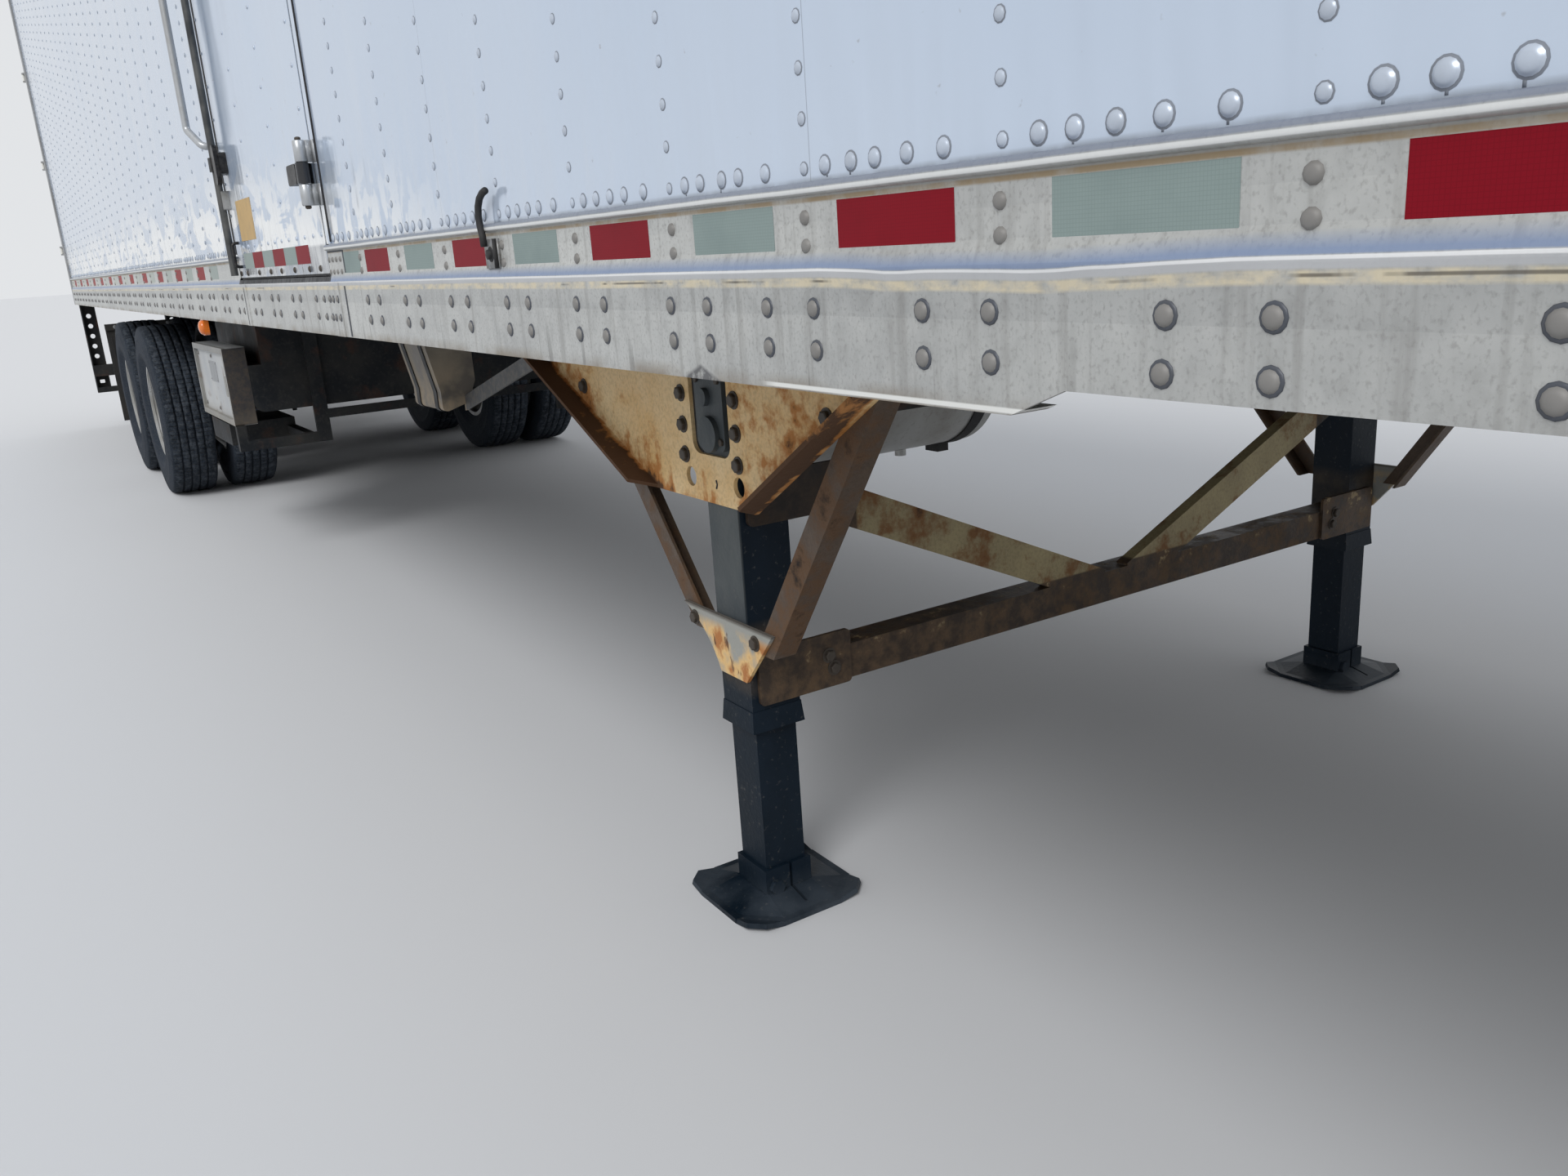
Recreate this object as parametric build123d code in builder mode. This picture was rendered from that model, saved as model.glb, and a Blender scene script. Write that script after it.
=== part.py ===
from build123d import *
import os
from math import cos, radians, sin, sqrt, tan

# Refrigerated van semi trailer, standing on its landing legs. Millimetres.
# +X points to the nose, -Y is the curb side, +Z is up; the origin is on the ground.
# Curb and road sides share one outline: side -1 is the curb side, side +1 the road side.

# Body
body_length = 14630.0
body_width = 2591.0
body_height = 4115.0
wall_thick = 64.0
front_wall_thick = 90.0
roof_thick = 70.0
floor_thick = 146.0
nose_radius = 60.0
corner_radius = 30.0
seat_gap = 0.3

# Bottom rail: a proud lower band, a sloped crease, a set-back upper band and a rolled lip
rail_bottom = 1110.0
rail_height = 228.0
rail_crease = 134.0
rail_slope = 24.0
rail_setback = 8.0
rail_metal = 5.0
rail_flange = 48.0
rail_lip_height = 14.0
rail_notch_rise = 27.0
rail_notch_start = 1102.0
rail_notch_run = 69.0
splice_width = 77.0
splice_proud = 3.0
splice_ahead = 66.0

# Crossmembers
cross_pitch = 300.0
cross_first = 1628.0
cross_depth = 102.0
cross_flange = 58.0
cross_metal = 5.0
clip_width = 130.0
clip_metal = 6.0

# Reach past the body at each end
unit_reach = 460.0
bumper_reach = 75.0

# Stations along the trailer
kingpin_setback = 914.0
kingpin_to_legs = 2591.0
legs_to_axle = 6458.0
axle_spacing = 1245.0
legs_to_door = 1436.0
side_door_width = 1259.0

half_width = body_width / 2
x_middle = -(unit_reach - bumper_reach) / 2
x_nose = body_length / 2 + x_middle
x_rear = -body_length / 2 + x_middle
x_kingpin = x_nose - kingpin_setback
x_legs = x_kingpin - kingpin_to_legs
x_axles = (x_legs - legs_to_axle, x_legs - legs_to_axle - axle_spacing)

wall_outer = half_width - rail_setback - rail_metal
wall_inner = wall_outer - wall_thick
rail_top = rail_bottom + rail_height
crease_z = rail_bottom + rail_crease
coupler_z = rail_bottom + rail_notch_rise
cross_bottom = rail_bottom + rail_metal
cross_top = cross_bottom + cross_depth
floor_top = cross_top + floor_thick
roof_top = body_height - rail_metal
roof_bottom = roof_top - roof_thick
sides = (-1, 1)

# Rear frame and its two doors
frame_depth = 110.0
post_width = 115.0
header_height = 140.0
door_gap = 8.0
rear_door_split = 14.0
rear_door_thick = 70.0
door_proud = 4.0
hinge_out_x = 50.0
hinge_out_y = 5.0
hinge_pin_r = 8.0
pin_clearance = 0.05
knuckle_r = 13.0
knuckle_height = 50.0
lug_thick = 12.0
lug_gap = 1.0

# Side door
side_door_bottom = crease_z + 24.0
side_door_height = 1994.0
side_door_thick = wall_thick
side_door_proud = 4.0
side_hinge_ahead = 22.0
side_hinge_out = 32.0
side_lug_thick = 52.0
side_knuckle_r = 16.0

# Landing gear
leg_y = 936.0
leg_tube = 108.0
leg_tube_bottom = 372.0
leg_tube_wall = 8.0
inner_tube = leg_tube - 2 * leg_tube_wall - 0.6
collar_height = 42.0
collar_grow = 5.0
foot_size = 275.0
foot_plate = 10.0
foot_corner = 70.0
foot_rise = 16.0
foot_socket = 66.0
plate_thick = 8.0
plate_low_z = 815.0
plate_low_rear = 245.0
plate_low_front = 130.0
plate_rear_slope = 24.5
plate_front_slope = 31.9
plate_flange = 50.0

# Wheels
tyre_diameter = 1020.0
tyre_width = 275.0
rim_diameter = 571.5
track_half = 984.0
dual_half = 171.5
spindle_r = 38.0
axle_tube_r = 63.5

os.makedirs("parts", exist_ok=True)


def save(piece, name):
    """Labels a finished piece and writes it to its own file."""
    piece.label = name
    export_step(piece, f"parts/{name}.step")


def mid(low, high):
    """Middle of two values."""
    return (low + high) / 2


def block(x, y, z):
    """A plain rectangular member between three low, high pairs."""
    with BuildPart() as member:
        with BuildSketch(Plane.XY.offset(z[0])):
            with Locations((mid(*x), mid(*y))):
                Rectangle(x[1] - x[0], y[1] - y[0])
        extrude(amount=z[1] - z[0])
    return member.part


def rod(start, end, r):
    """A round bar between two points."""
    along = Vector(*end) - Vector(*start)
    with BuildPart() as bar:
        with BuildSketch(Plane(origin=start, z_dir=along.normalized())):
            Circle(r)
        extrude(amount=along.length)
    return bar.part


def wall_plane(y):
    """A plane that faces the curb side at y, with X and Z as its own axes."""
    return Plane.XZ.offset(-y)


# Bottom rails
with BuildPart() as bottom_rails:
    inside = half_width - rail_metal
    upper = half_width - rail_setback
    slope_top = crease_z + rail_slope
    with BuildSketch(Plane.YZ.offset(x_rear + frame_depth)):
        with BuildLine():
            Polyline(
                (half_width, rail_bottom),
                (half_width, crease_z),
                (upper, slope_top),
                (upper, rail_top - rail_lip_height),
                (half_width, rail_top - rail_lip_height),
                (half_width, rail_top),
                (upper - rail_metal, rail_top),
                (upper - rail_metal, slope_top),
                (inside, crease_z),
                (inside, rail_bottom + rail_metal),
                (half_width - rail_flange, rail_bottom + rail_metal),
                (half_width - rail_flange, rail_bottom),
                close=True,
            )
        make_face()
        outer_lip = vertices().filter_by(lambda v: abs(v.X - half_width) < 0.1 and v.Y > slope_top)
        fillet(outer_lip, rail_lip_height * 0.4)
        crease = vertices().filter_by(lambda v: abs(v.X - half_width) < 0.1 and abs(v.Y - crease_z) < 0.1)
        fillet(crease, rail_slope * 0.6)
        mirror(about=Plane.YZ)
    extrude(amount=x_nose - front_wall_thick - x_rear - frame_depth)
    # Cover plates over the splices at the two ends of the side door
    splice_xs = (x_legs - legs_to_door + splice_ahead, x_legs - legs_to_door - side_door_width + splice_ahead)
    for side in sides:
        with BuildSketch(Plane.XZ.offset(-side * half_width)):
            with Locations(*[(x, mid(rail_bottom, crease_z)) for x in splice_xs]):
                Rectangle(splice_width, rail_crease)
        extrude(amount=-side * splice_proud)
    # Ahead of the legs the rail is shallower, with a sloped step
    notch_rear = x_legs + rail_notch_start
    with BuildSketch(Plane.XZ.offset(-half_width - 1)):
        with BuildLine():
            Polyline(
                (notch_rear, rail_bottom - 1),
                (notch_rear, rail_bottom),
                (notch_rear + rail_notch_run, coupler_z),
                (x_nose, coupler_z),
                (x_nose, rail_bottom - 1),
                close=True,
            )
        make_face()
    extrude(amount=2 * half_width + 2, mode=Mode.SUBTRACT)
    # The side door drops past the upper band
    with BuildSketch(Plane.XY.offset(side_door_bottom - door_gap)):
        with Locations((x_legs - legs_to_door - side_door_width / 2, -half_width)):
            Rectangle(side_door_width + 2 * door_gap, 60)
    extrude(amount=rail_height, mode=Mode.SUBTRACT)
save(bottom_rails.part, "bottom_rails")

# Crossmembers: I beams between the rails, with a bolted clip plate at each end
coupler_length = 1350.0
x_coupler = x_nose - front_wall_thick - coupler_length
first = x_legs + cross_first
count_ahead = int((x_coupler - cross_flange - first) // cross_pitch)
count_behind = int((first - x_rear - frame_depth - cross_flange) // cross_pitch)
cross_stations = [first + cross_pitch * n for n in range(-count_behind, count_ahead + 1)]
cross_half = half_width - rail_metal - seat_gap
with BuildPart() as crossmembers:
    with BuildSketch(Plane.XZ.offset(-cross_half)):
        for x in cross_stations:
            low = cross_bottom if x < x_legs + rail_notch_start - cross_flange else cross_bottom + rail_notch_rise
            with Locations((x, mid(low, cross_top))):
                Rectangle(cross_flange, cross_top - low)
            web_gap = (cross_flange - cross_metal) / 2
            for way in (-1, 1):
                edge = mid(cross_metal, cross_flange) / 2 * way
                with Locations((x + edge, mid(low, cross_top))):
                    Rectangle(web_gap, cross_top - low - 2 * cross_metal, mode=Mode.SUBTRACT)
    extrude(amount=2 * cross_half)
    for side in sides:
        with BuildSketch(Plane.XZ.offset(-side * cross_half)):
            for x in cross_stations:
                low = cross_bottom if x < x_legs + rail_notch_start - cross_flange else cross_bottom + rail_notch_rise
                with Locations((x, mid(low, cross_top))):
                    Rectangle(clip_width, cross_top - low - 2 * cross_metal)
        extrude(amount=side * clip_metal)
save(crossmembers.part, "crossmembers")

# Floor: a foam panel with a ribbed deck that lets air run under the freight
x_inside_rear = x_rear + frame_depth
x_inside_front = x_nose - front_wall_thick
rib_pitch = 70.0
rib_groove = 28.0
rib_depth = 30.0
groove_count = 34
with BuildPart() as floor:
    with BuildSketch(Plane.YZ.offset(x_inside_rear)):
        with Locations((0, mid(cross_top, floor_top))):
            Rectangle(2 * wall_inner, floor_thick)
        with Locations((0, floor_top - rib_depth / 2)):
            with GridLocations(rib_pitch, 0, groove_count, 1):
                Rectangle(rib_groove, rib_depth, mode=Mode.SUBTRACT)
    extrude(amount=x_inside_front - x_inside_rear)
save(floor.part, "floor")

# Walls: foam panels as thick as the whole wall, the curb one open at the side door
save(block((x_inside_rear, x_inside_front), (wall_inner, wall_outer), (cross_top, roof_bottom)), "road_wall")

x_door_front = x_legs - legs_to_door
x_door_rear = x_door_front - side_door_width
side_door_top = side_door_bottom + side_door_height
door_frame = 38.0
door_frame_proud = 3.0
with BuildPart() as curb_wall:
    with BuildSketch(wall_plane(-wall_inner)):
        with Locations((mid(x_inside_rear, x_inside_front), mid(cross_top, roof_bottom))):
            Rectangle(x_inside_front - x_inside_rear, roof_bottom - cross_top)
    extrude(amount=wall_thick)
    with BuildSketch(wall_plane(-wall_outer)):
        frame_z = (rail_top + 2, side_door_top + door_gap + door_frame)
        with Locations((mid(x_door_rear, x_door_front), mid(*frame_z))):
            Rectangle(side_door_width + 2 * door_gap + 2 * door_frame, frame_z[1] - frame_z[0])
    extrude(amount=door_frame_proud)
    with BuildSketch(wall_plane(-wall_inner)):
        with Locations((mid(x_door_rear, x_door_front), mid(side_door_bottom, side_door_top))):
            Rectangle(side_door_width + 2 * door_gap, side_door_height + 2 * door_gap)
    extrude(amount=wall_thick + door_frame_proud, mode=Mode.SUBTRACT)
save(curb_wall.part, "curb_wall")

with BuildPart() as roof:
    with BuildSketch(Plane.YZ.offset(x_inside_rear)):
        with Locations((0, mid(roof_bottom, roof_top))):
            Rectangle(2 * wall_outer, roof_thick)
    extrude(amount=x_inside_front - x_inside_rear)
    fillet(roof.edges().filter_by(Axis.X).group_by(Axis.Z)[-1], corner_radius - rail_metal)
save(roof.part, "roof")

# Top rails: angles that wrap the wall top and the roof edge
top_rail_drop = 125.0
top_rail_over = 70.0
with BuildPart() as top_rails:
    outer = wall_outer + rail_metal
    with BuildSketch(Plane.YZ.offset(x_inside_rear)):
        with BuildLine():
            Polyline(
                (outer, body_height - top_rail_drop),
                (outer, body_height),
                (outer - top_rail_over, body_height),
                (outer - top_rail_over, roof_top),
                (wall_outer, roof_top),
                (wall_outer, body_height - top_rail_drop),
                close=True,
            )
        make_face()
        fillet(
            vertices().filter_by(lambda v: abs(v.X - outer) < 0.1 and abs(v.Y - body_height) < 0.1),
            corner_radius,
        )
        fillet(
            vertices().filter_by(lambda v: abs(v.X - wall_outer) < 0.1 and abs(v.Y - roof_top) < 0.1),
            corner_radius - rail_metal,
        )
        mirror(about=Plane.YZ)
    extrude(amount=x_inside_front - x_inside_rear)
save(top_rails.part, "top_rails")

# Front wall with rounded corner posts
with BuildPart() as front_wall:
    with BuildSketch(Plane.XY.offset(coupler_z)):
        with Locations((mid(x_inside_front, x_nose), 0)):
            Rectangle(front_wall_thick, 2 * (half_width - rail_setback))
    extrude(amount=body_height - coupler_z)
    fillet(front_wall.edges().filter_by(Axis.Z).group_by(Axis.X)[-1], nose_radius)
    fillet(front_wall.edges().filter_by(Axis.Y).group_by(Axis.X)[-1].group_by(Axis.Z)[-1], corner_radius)
save(front_wall.part, "front_wall")

# Upper coupler: a plate under a welded frame, turned up at the nose, bored for the kingpin
coupler_half = 1180.0
coupler_plate = 10.0
frame_bar = 50.0
bays = 4
kingpin_r = 25.4
kingpin_flange_r = 35.7
kingpin_root_r = 62.0
kingpin_drop = 84.0
kingpin_root_depth = 8.0
kingpin_shoulder = 36.0
kingpin_foot = 14.0
bay_length = coupler_length / bays
bay_width = 2 * coupler_half / bays
with BuildPart() as upper_coupler:
    with BuildSketch(Plane.XY.offset(coupler_z)):
        with Locations((mid(x_coupler, x_inside_front), 0)):
            Rectangle(coupler_length, 2 * coupler_half)
    extrude(amount=coupler_plate)
    with BuildSketch(Plane.XY.offset(coupler_z + coupler_plate)):
        with Locations((mid(x_coupler, x_inside_front), 0)):
            Rectangle(coupler_length, 2 * coupler_half)
            with GridLocations(bay_length, bay_width, bays, bays):
                Rectangle(bay_length - frame_bar, bay_width - frame_bar, mode=Mode.SUBTRACT)
    extrude(amount=cross_top - coupler_z - coupler_plate)
    fillet(upper_coupler.edges().filter_by(Axis.Y).group_by(Axis.Z)[0].sort_by(Axis.X)[-1], coupler_plate - 1)
    with BuildSketch(Plane.XY.offset(coupler_z)):
        with Locations((x_kingpin, 0)):
            Circle(kingpin_root_r + seat_gap)
    extrude(amount=coupler_plate, mode=Mode.SUBTRACT)
save(upper_coupler.part, "upper_coupler")

with BuildPart() as kingpin:
    with BuildSketch(Plane.XZ):
        with BuildLine():
            Polyline(
                (x_kingpin, coupler_z + coupler_plate - seat_gap),
                (x_kingpin + kingpin_root_r, coupler_z + coupler_plate - seat_gap),
                (x_kingpin + kingpin_root_r, coupler_z - kingpin_root_depth),
                (x_kingpin + kingpin_flange_r, coupler_z - kingpin_foot),
                (x_kingpin + kingpin_flange_r, coupler_z - kingpin_shoulder),
                (x_kingpin + kingpin_r, coupler_z - kingpin_shoulder),
                (x_kingpin + kingpin_r, coupler_z - kingpin_drop + kingpin_foot),
                (x_kingpin + kingpin_flange_r, coupler_z - kingpin_drop + kingpin_foot),
                (x_kingpin + kingpin_flange_r, coupler_z - kingpin_drop + 4),
                (x_kingpin + kingpin_flange_r - 4, coupler_z - kingpin_drop),
                (x_kingpin, coupler_z - kingpin_drop),
                close=True,
            )
        make_face()
    revolve(axis=Axis((x_kingpin, 0, 0), (0, 0, 1)))
save(kingpin.part, "kingpin")

# Rear frame: corner posts, header and sill around the door opening, with lamp pockets and keepers
opening_half = half_width - post_width
opening_top = body_height - header_height
lamp_r = 50.0
lamp_pocket = 6.0
marker_length = 110.0
marker_height = 34.0
sill_lamps = [side * y for side in sides for y in (560.0, 700.0, 840.0)]
sill_lamp_z = rail_bottom + 105
header_lamps = (-1180.0, -135.0, 0.0, 135.0, 1180.0)
header_lamp_z = mid(opening_top, body_height)
rod_ys = (230.0, 800.0)
keeper_gap = 24.0
keeper_metal = 8.0
keeper_out = 36.0
keeper_height = 60.0
keeper_zs = (floor_top - 42, opening_top + 42)
with BuildPart() as rear_frame:
    with BuildSketch(Plane.YZ.offset(x_rear)):
        with Locations((0, mid(rail_bottom, body_height))):
            Rectangle(body_width, body_height - rail_bottom)
        with Locations((0, mid(floor_top, opening_top))):
            Rectangle(2 * opening_half, opening_top - floor_top, mode=Mode.SUBTRACT)
    extrude(amount=frame_depth)
    fillet(rear_frame.edges().filter_by(Axis.X).group_by(Axis.Z)[-1], corner_radius)
    with BuildSketch(Plane.YZ.offset(x_rear)):
        with Locations(*[(y, sill_lamp_z) for y in sill_lamps]):
            Circle(lamp_r + seat_gap)
        with Locations(*[(y, header_lamp_z) for y in header_lamps]):
            SlotOverall(marker_length + 2 * seat_gap, marker_height + 2 * seat_gap)
    extrude(amount=lamp_pocket, mode=Mode.SUBTRACT)
    with BuildSketch(Plane.YZ.offset(x_rear)):
        for side in sides:
            for y in rod_ys:
                for z in keeper_zs:
                    with Locations((side * y, z)):
                        Rectangle(2 * (keeper_gap + keeper_metal), keeper_height)
                        Rectangle(2 * keeper_gap, keeper_height, mode=Mode.SUBTRACT)
    extrude(amount=-keeper_out)

# Hinge lugs on the posts carry the pins of the rear doors
pin_x = x_rear - hinge_out_x
pin_y = half_width + hinge_out_y
rear_door_bottom = floor_top + door_gap
rear_door_top = opening_top - door_gap
hinge_count = 4
hinge_margin = 210.0
hinge_zs = [
    rear_door_bottom + hinge_margin + n * (rear_door_top - rear_door_bottom - 2 * hinge_margin) / (hinge_count - 1)
    for n in range(hinge_count)
]


def hinge_lugs(pin, foot_a, foot_b, z, r, thick):
    """Two lugs on a wall, from foot_a to foot_b, with the pin through them."""
    reach = knuckle_height / 2 + lug_gap + thick
    with BuildPart() as lugs:
        for low in (z - reach, z + knuckle_height / 2 + lug_gap):
            with BuildSketch(Plane.XY.offset(low)):
                with BuildLine():
                    Polyline(foot_a, foot_b, pin, close=True)
                make_face()
                with Locations(pin):
                    Circle(r)
                make_hull()
            extrude(amount=thick)
        with BuildSketch(Plane.XY.offset(z - reach)):
            with Locations(pin):
                Circle(hinge_pin_r)
        extrude(amount=2 * reach)
    return lugs.part


def hinge_strap(pin, along, reach, offset, z, r, plate, length):
    """A strap on a door's outer face that ends in a knuckle round the pin.

    along is the unit vector from the pin to the door, reach where its flat part starts,
    offset the vector from the pin to the middle of that flat part.
    """
    far = (pin[0] + along[0] * (reach + length) + offset[0], pin[1] + along[1] * (reach + length) + offset[1])
    near = (pin[0] + along[0] * reach + offset[0], pin[1] + along[1] * reach + offset[1])
    with BuildPart() as strap:
        with BuildSketch(Plane.XY.offset(z - knuckle_height / 2)):
            with BuildLine() as route:
                Polyline(pin, near, far)
            trace(route.line, line_width=plate)
            with Locations(pin):
                Circle(r)
                Circle(hinge_pin_r + pin_clearance, mode=Mode.SUBTRACT)
        extrude(amount=knuckle_height)
    return strap.part


lug_foot_inner = 70.0
frame_pieces = rear_frame.part
for side in sides:
    for z in hinge_zs:
        frame_pieces += hinge_lugs(
            (pin_x, side * pin_y),
            (x_rear + 1, side * (half_width - lug_foot_inner)),
            (x_rear + 1, side * (half_width - 1)),
            z,
            knuckle_r,
            lug_thick,
        )
save(frame_pieces, "rear_frame")

# Rear doors
strap_plate = 8.0
strap_clear = 6.0
rear_strap_length = 170.0
hinge_edge = opening_half - door_gap
for side, name in zip(sides, ("rear_door_curb", "rear_door_road")):
    with BuildPart() as rear_door:
        with BuildSketch(Plane.YZ.offset(x_rear - door_proud)):
            door_y = mid(rear_door_split / 2, hinge_edge)
            with Locations((side * door_y, mid(rear_door_bottom, rear_door_top))):
                Rectangle(hinge_edge - rear_door_split / 2, rear_door_top - rear_door_bottom)
        extrude(amount=rear_door_thick)
    door = rear_door.part
    for z in hinge_zs:
        door += hinge_strap(
            (pin_x, side * pin_y),
            (0, -side),
            pin_y - hinge_edge + strap_clear,
            (hinge_out_x - door_proud - strap_plate / 2, 0),
            z,
            knuckle_r,
            strap_plate,
            rear_strap_length,
        )
    save(door, name)

# Lock rods, two on each rear door, with guides, cams in the keepers and a flat handle
rod_r = 13.5
rod_stand = 24.0
guide_width = 70.0
guide_height = 50.0
cam_half = 16.0
cam_height = 36.0
cam_clear = 8.0
handle_out = 44.0
handle_metal = 8.0
handle_width = 26.0
handle_length = 330.0
handle_zs = (rear_door_bottom + 340, rear_door_bottom + 230)
catch_width = 40.0
rod_x = x_rear - door_proud - rod_stand
guide_zs = (rear_door_bottom + 90, rear_door_bottom + 800, rear_door_bottom + 1600, rear_door_top - 90)
for side, name in zip(sides, ("lock_rods_curb", "lock_rods_road")):
    with BuildPart() as lock_rods:
        for y, handle_z, toward in zip(rod_ys, handle_zs, (1, -1)):
            with BuildSketch(Plane.XY.offset(keeper_zs[0])):
                with Locations((rod_x, side * y)):
                    Circle(rod_r)
            extrude(amount=keeper_zs[1] - keeper_zs[0])
            with BuildSketch(Plane.YZ.offset(x_rear - cam_clear)):
                with Locations(*[(side * y, z) for z in keeper_zs]):
                    Rectangle(2 * cam_half, cam_height)
            extrude(amount=-(keeper_out - 2))
            with BuildSketch(Plane.YZ.offset(x_rear - door_proud - seat_gap)):
                with Locations(*[(side * y, z) for z in guide_zs]):
                    RectangleRounded(guide_width, guide_height, 8)
            extrude(amount=-(rod_stand - seat_gap))
            with BuildSketch(Plane.XY.offset(handle_z - handle_width)):
                with Locations((rod_x, side * y)):
                    Circle(rod_r + 5)
            extrude(amount=2 * handle_width)
            handle_end = y + toward * handle_length
            with BuildSketch(Plane.YZ.offset(x_rear - door_proud - handle_out + handle_metal)):
                with Locations((side * mid(y, handle_end), handle_z)):
                    SlotOverall(handle_length + handle_width, handle_width)
            extrude(amount=-handle_metal)
            with BuildSketch(Plane.YZ.offset(x_rear - door_proud - seat_gap)):
                with Locations((side * (handle_end - toward * catch_width), handle_z)):
                    Rectangle(catch_width, 2 * handle_width)
            extrude(amount=-(handle_out - handle_metal - seat_gap))
    save(lock_rods.part, name)

# Side door: opens forward through half a turn
side_pin = (x_door_front + side_hinge_ahead, -(wall_outer + side_door_proud + side_hinge_out))
side_hinge_zs = (side_door_bottom + 245.0, side_door_bottom + 997.0, side_door_bottom + 1749.0)
side_face = -(wall_outer + side_door_proud)
side_strap_length = 38.0
with BuildPart() as side_door:
    with BuildSketch(Plane.XY.offset(side_door_bottom)):
        with Locations((mid(x_door_rear, x_door_front), side_face + side_door_thick / 2)):
            Rectangle(side_door_width, side_door_thick)
    extrude(amount=side_door_height)
door = side_door.part
for z in side_hinge_zs:
    door += hinge_strap(
        side_pin,
        (-1, 0),
        side_hinge_ahead + strap_clear,
        (0, side_hinge_out - strap_plate / 2),
        z,
        side_knuckle_r,
        strap_plate,
        side_strap_length,
    )
save(door, "side_door")

# Lock rod, paddle and loop of the side door, and the rubber block that meets the holdback
side_rod_x = x_door_rear + 24.0
side_rod_r = 12.0
side_rod_low = side_door_bottom + 8.0
side_guide_zs = (side_door_bottom + 251.0, side_door_bottom + 1100.0, side_door_top - 90.0)
hub_z = side_door_bottom + 365.0
paddle_low = side_door_bottom + 297.0
paddle_high = side_door_bottom + 422.0
loop_low = side_door_bottom + 36.0
loop_high = side_door_bottom + 113.0
loop_stand = 20.0
loop_x = side_rod_x + 34.0
paddle_x = side_rod_x + 62.0
paddle_width = 44.0
paddle_thick = 14.0
guide_size = (42.0, 60.0)
hub_size = (110.0, 66.0)
hub_collar = 44.0
hub_collar_grow = 7.0
block_x = x_legs - 1535.0
block_z = side_door_bottom + 249.0
block_size = (97.0, 50.0)
block_thick = 34.0
with BuildPart() as side_door_lock:
    with BuildSketch(Plane.XY.offset(side_rod_low)):
        with Locations((side_rod_x, side_face - rod_stand)):
            Circle(side_rod_r)
    extrude(amount=side_door_top - 10 - side_rod_low)
    with BuildSketch(wall_plane(side_face - seat_gap)):
        with Locations(*[(side_rod_x, z) for z in side_guide_zs]):
            RectangleRounded(*guide_size, 6)
        with Locations((loop_x, hub_z)):
            RectangleRounded(*hub_size, 10)
    extrude(amount=rod_stand - seat_gap)
    with BuildSketch(Plane.XY.offset(hub_z - hub_collar / 2)):
        with Locations((side_rod_x, side_face - rod_stand)):
            Circle(side_rod_r + hub_collar_grow)
    extrude(amount=hub_collar)
    with BuildSketch(wall_plane(side_face - rod_stand + 1)):
        with Locations((paddle_x, mid(paddle_low, paddle_high))):
            SlotOverall(paddle_high - paddle_low, paddle_width, rotation=90)
    extrude(amount=paddle_thick)
    with BuildLine() as loop_line:
        FilletPolyline(
            (loop_x, side_face - seat_gap, loop_low),
            (loop_x, side_face - loop_stand, loop_low),
            (loop_x, side_face - loop_stand, loop_high),
            (loop_x, side_face - seat_gap, loop_high),
            radius=10,
        )
    with BuildSketch(Plane(origin=loop_line.line @ 0, z_dir=loop_line.line % 0)):
        Circle(5)
    sweep()
    with BuildSketch(wall_plane(side_face - seat_gap)):
        with Locations((block_x, block_z)):
            RectangleRounded(*block_size, 10)
    extrude(amount=block_thick)
save(side_door_lock.part, "side_door_lock")

with BuildPart() as side_hinge_lugs:
    lug_foot = -(wall_outer + door_frame_proud + seat_gap)
    for z in side_hinge_zs:
        add(
            hinge_lugs(
                side_pin,
                (x_door_front + door_gap + 1, lug_foot),
                (x_door_front + door_gap + door_frame - 1, lug_foot),
                z,
                side_knuckle_r,
                side_lug_thick,
            )
        )
save(side_hinge_lugs.part, "side_door_hinges")

# Landing gear legs: box tubes with a flared collar and a gear cover high on the outer face
at_legs = [(x_legs, side * leg_y) for side in sides]
leg_bore = leg_tube - 2 * leg_tube_wall
shaft_z = 947.0
shaft_r = 14.0
cover_half = 50.0
cover_height = 150.0
cover_rise = 45.0
cover_round = 16.0
cover_out = 12.0
boss_r = 33.0
boss_out = 22.0
small_boss = (-9.0, 67.0)
with BuildPart() as leg_tubes:
    with BuildSketch(Plane.XY.offset(leg_tube_bottom)):
        with Locations(*at_legs):
            Rectangle(leg_tube, leg_tube)
    extrude(amount=cross_bottom - leg_tube_bottom)
    with BuildSketch(Plane.XY.offset(leg_tube_bottom)):
        with Locations(*at_legs):
            Rectangle(leg_tube + 2 * collar_grow, leg_tube + 2 * collar_grow)
    extrude(amount=collar_height, taper=5)
    with BuildSketch(Plane.XY.offset(leg_tube_bottom)):
        with Locations(*at_legs):
            Rectangle(leg_bore, leg_bore)
    extrude(amount=cross_bottom - leg_tube_bottom, mode=Mode.SUBTRACT)
    for side in sides:
        with BuildSketch(Plane.XZ.offset(-side * (leg_y + leg_tube / 2))):
            with Locations((x_legs, shaft_z + cover_rise)):
                RectangleRounded(2 * cover_half, cover_height, cover_round)
        extrude(amount=-side * cover_out)
        with BuildSketch(Plane.XZ.offset(-side * (leg_y + leg_tube / 2))):
            with Locations((x_legs, shaft_z)):
                Circle(boss_r)
            with Locations((x_legs + small_boss[0], shaft_z + small_boss[1])):
                Circle(boss_r / 2)
        extrude(amount=-side * boss_out)
save(leg_tubes.part, "leg_tubes")

inner_tube_up = 250.0
with BuildPart() as inner_tubes:
    with BuildSketch(Plane.XY.offset(foot_plate)):
        with Locations(*at_legs):
            Rectangle(inner_tube, inner_tube)
    extrude(amount=leg_tube_bottom + inner_tube_up - foot_plate)
save(inner_tubes.part, "leg_inner_tubes")

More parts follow.
